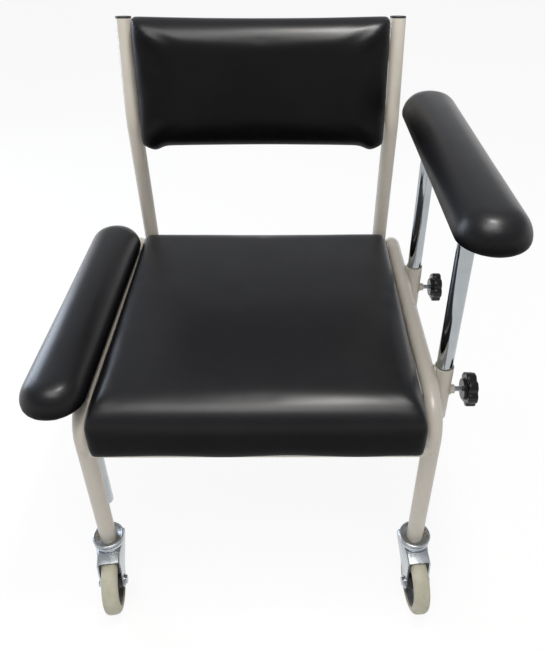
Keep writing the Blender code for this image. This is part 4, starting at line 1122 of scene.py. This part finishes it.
def makeCushion(name, body, node, size, place, pad):
    blank = remeshed(paddedBlock(size, pad), pad["voxel"])
    shapeCover(blank.data, size, pad)
    blowUp(blank, size, pad)
    bm = bmesh.new()
    bm.from_mesh(blank.data)
    bpy.data.objects.remove(blank)
    for _ in range(pad["smoothing"]):
        bmesh.ops.smooth_vert(bm, verts=bm.verts, factor=0.5, use_axis_x=True, use_axis_y=True, use_axis_z=True)
    fitCover(bm, size, pad)
    mesh = bpy.data.meshes.new("smoothed")
    bm.to_mesh(mesh)
    foldCover(mesh, size, pad)
    bm.clear()
    bm.from_mesh(mesh)
    bpy.data.meshes.remove(mesh)
    cushion = finishPiece(name, bm, body, "blackVinyl", node, sharp=180, place=place)
    finer = cushion.modifiers.new("finer", "SUBSURF")
    finer.levels = finer.render_levels = 1
    print(name, "upholstered:", len(cushion.data.polygons), "faces")


def cushionPlace(node):
    # size, and the place with its origin in the middle of the underside
    low, high, middle = nodeBox(node)
    return high - low, Matrix.Translation((middle.x, middle.y, low.z))


backRest = {"height": 0.200, "thickness": 0.049, "strap": 0.004, "boardThickness": 0.009}


def backPlace():
    # local Y runs up the back and local Z forwards, from the cover's back plane
    turn = Matrix.Rotation(math.pi / 2 - math.radians(backTube["upperLean"]), 4, "X")
    forward = turn.to_3x3() @ Vector((0, 0, 1))
    return Matrix.Translation(nodeBox("back_board")[2] - forward * (backRest["boardThickness"] / 2)) @ turn


def backSize():
    low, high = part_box("back_cushion")
    return Vector((high.x - low.x, backRest["height"], backRest["thickness"]))


makeCushion("seatCushion", "frame", "seat_cushion", *cushionPlace("seat_cushion"), seatCushion)
makeCushion("backCushion", "frame", "back_cushion", backSize(), backPlace(), backCushion)
for side in sideSigns:
    pad = f"{side}_armrest_pad"
    makeCushion(f"{side}ArmPad", f"{side}_arm", pad, *cushionPlace(pad), armPad)
print("upholstery done")

# Boards, straps and fixings behind and under the cushions

fixings = {"strapEdge": 0.0008, "screwRadius": 0.0055, "screwHeight": 0.0030, "strapScrew": 0.62,
           "bearerScrew": 0.80, "staple": (0.010, 0.0012, 0.0007), "staplePitch": 0.026, "stapleInset": 0.0090,
           "stapleClear": 0.027}


def makeStraps():
    lean = math.radians(backTube["upperLean"])
    thick = backRest["strap"]
    for level in ("lower", "upper"):
        low, high, middle = nodeBox(f"{level}_back_strap")
        width = high.x - low.x
        height = (high.z - low.z - thick * math.sin(lean)) / math.cos(lean)
        bm = bmesh.new()
        addBox(bm, (width, height, thick), (0, 0, 0))
        softenEdges(bm, fixings["strapEdge"])
        for sign in (-1, 1):
            hangScrew(bm, (sign * width / 2 * fixings["strapScrew"], 0, -thick / 2), fixings["screwRadius"],
                      fixings["screwHeight"])
        finishPiece(f"{level}Strap", bm, "frame", "framePaint", f"{level}_back_strap",
                    place=Matrix.Translation(middle) @ backPlace().to_3x3().to_4x4())


def makeBearerScrews():
    for side in sideSigns:
        low, high, middle = nodeBox(f"{side}_seat_bearer")
        reach = (high.y - low.y) / 2 * fixings["bearerScrew"]
        bm = bmesh.new()
        for y in (middle.y - reach, middle.y + reach):
            hangScrew(bm, (middle.x, y, low.z), fixings["screwRadius"], fixings["screwHeight"])
        finishPiece(f"{side}BearerScrews", bm, "frame", "zincPlate")


def makeStaples(name, size, place):
    # one staple after another along the turned-in hem
    bm = bmesh.new()
    length, width, height = fixings["staple"]
    inset = fixings["stapleInset"]
    for axis in (0, 1):
        span = size[axis] - 2 * fixings["stapleClear"]
        count = int(span / fixings["staplePitch"])
        for sign in (-1, 1):
            across = sign * (size[1 - axis] / 2 - inset)
            for step in range(count + 1):
                along = -span / 2 + span * step / count
                if axis == 0:
                    addBox(bm, (length, width, height), (along, across, 0))
                else:
                    addBox(bm, (width, length, height), (across, along, 0))
    finishPiece(name, bm, "frame", "zincPlate", place=place)


def dressBoards():
    for node in ("seat_board", "back_board"):
        cad = frame["nodes"][node]
        cad.data.materials.clear()
        cad.data.materials.append(materials["plywood"])


makeStraps()
makeBearerScrews()
makeStaples("seatStaples", *cushionPlace("seat_cushion"))
makeStaples("backStaples", backSize(), backPlace())
dressBoards()
print("boards and fixings done")
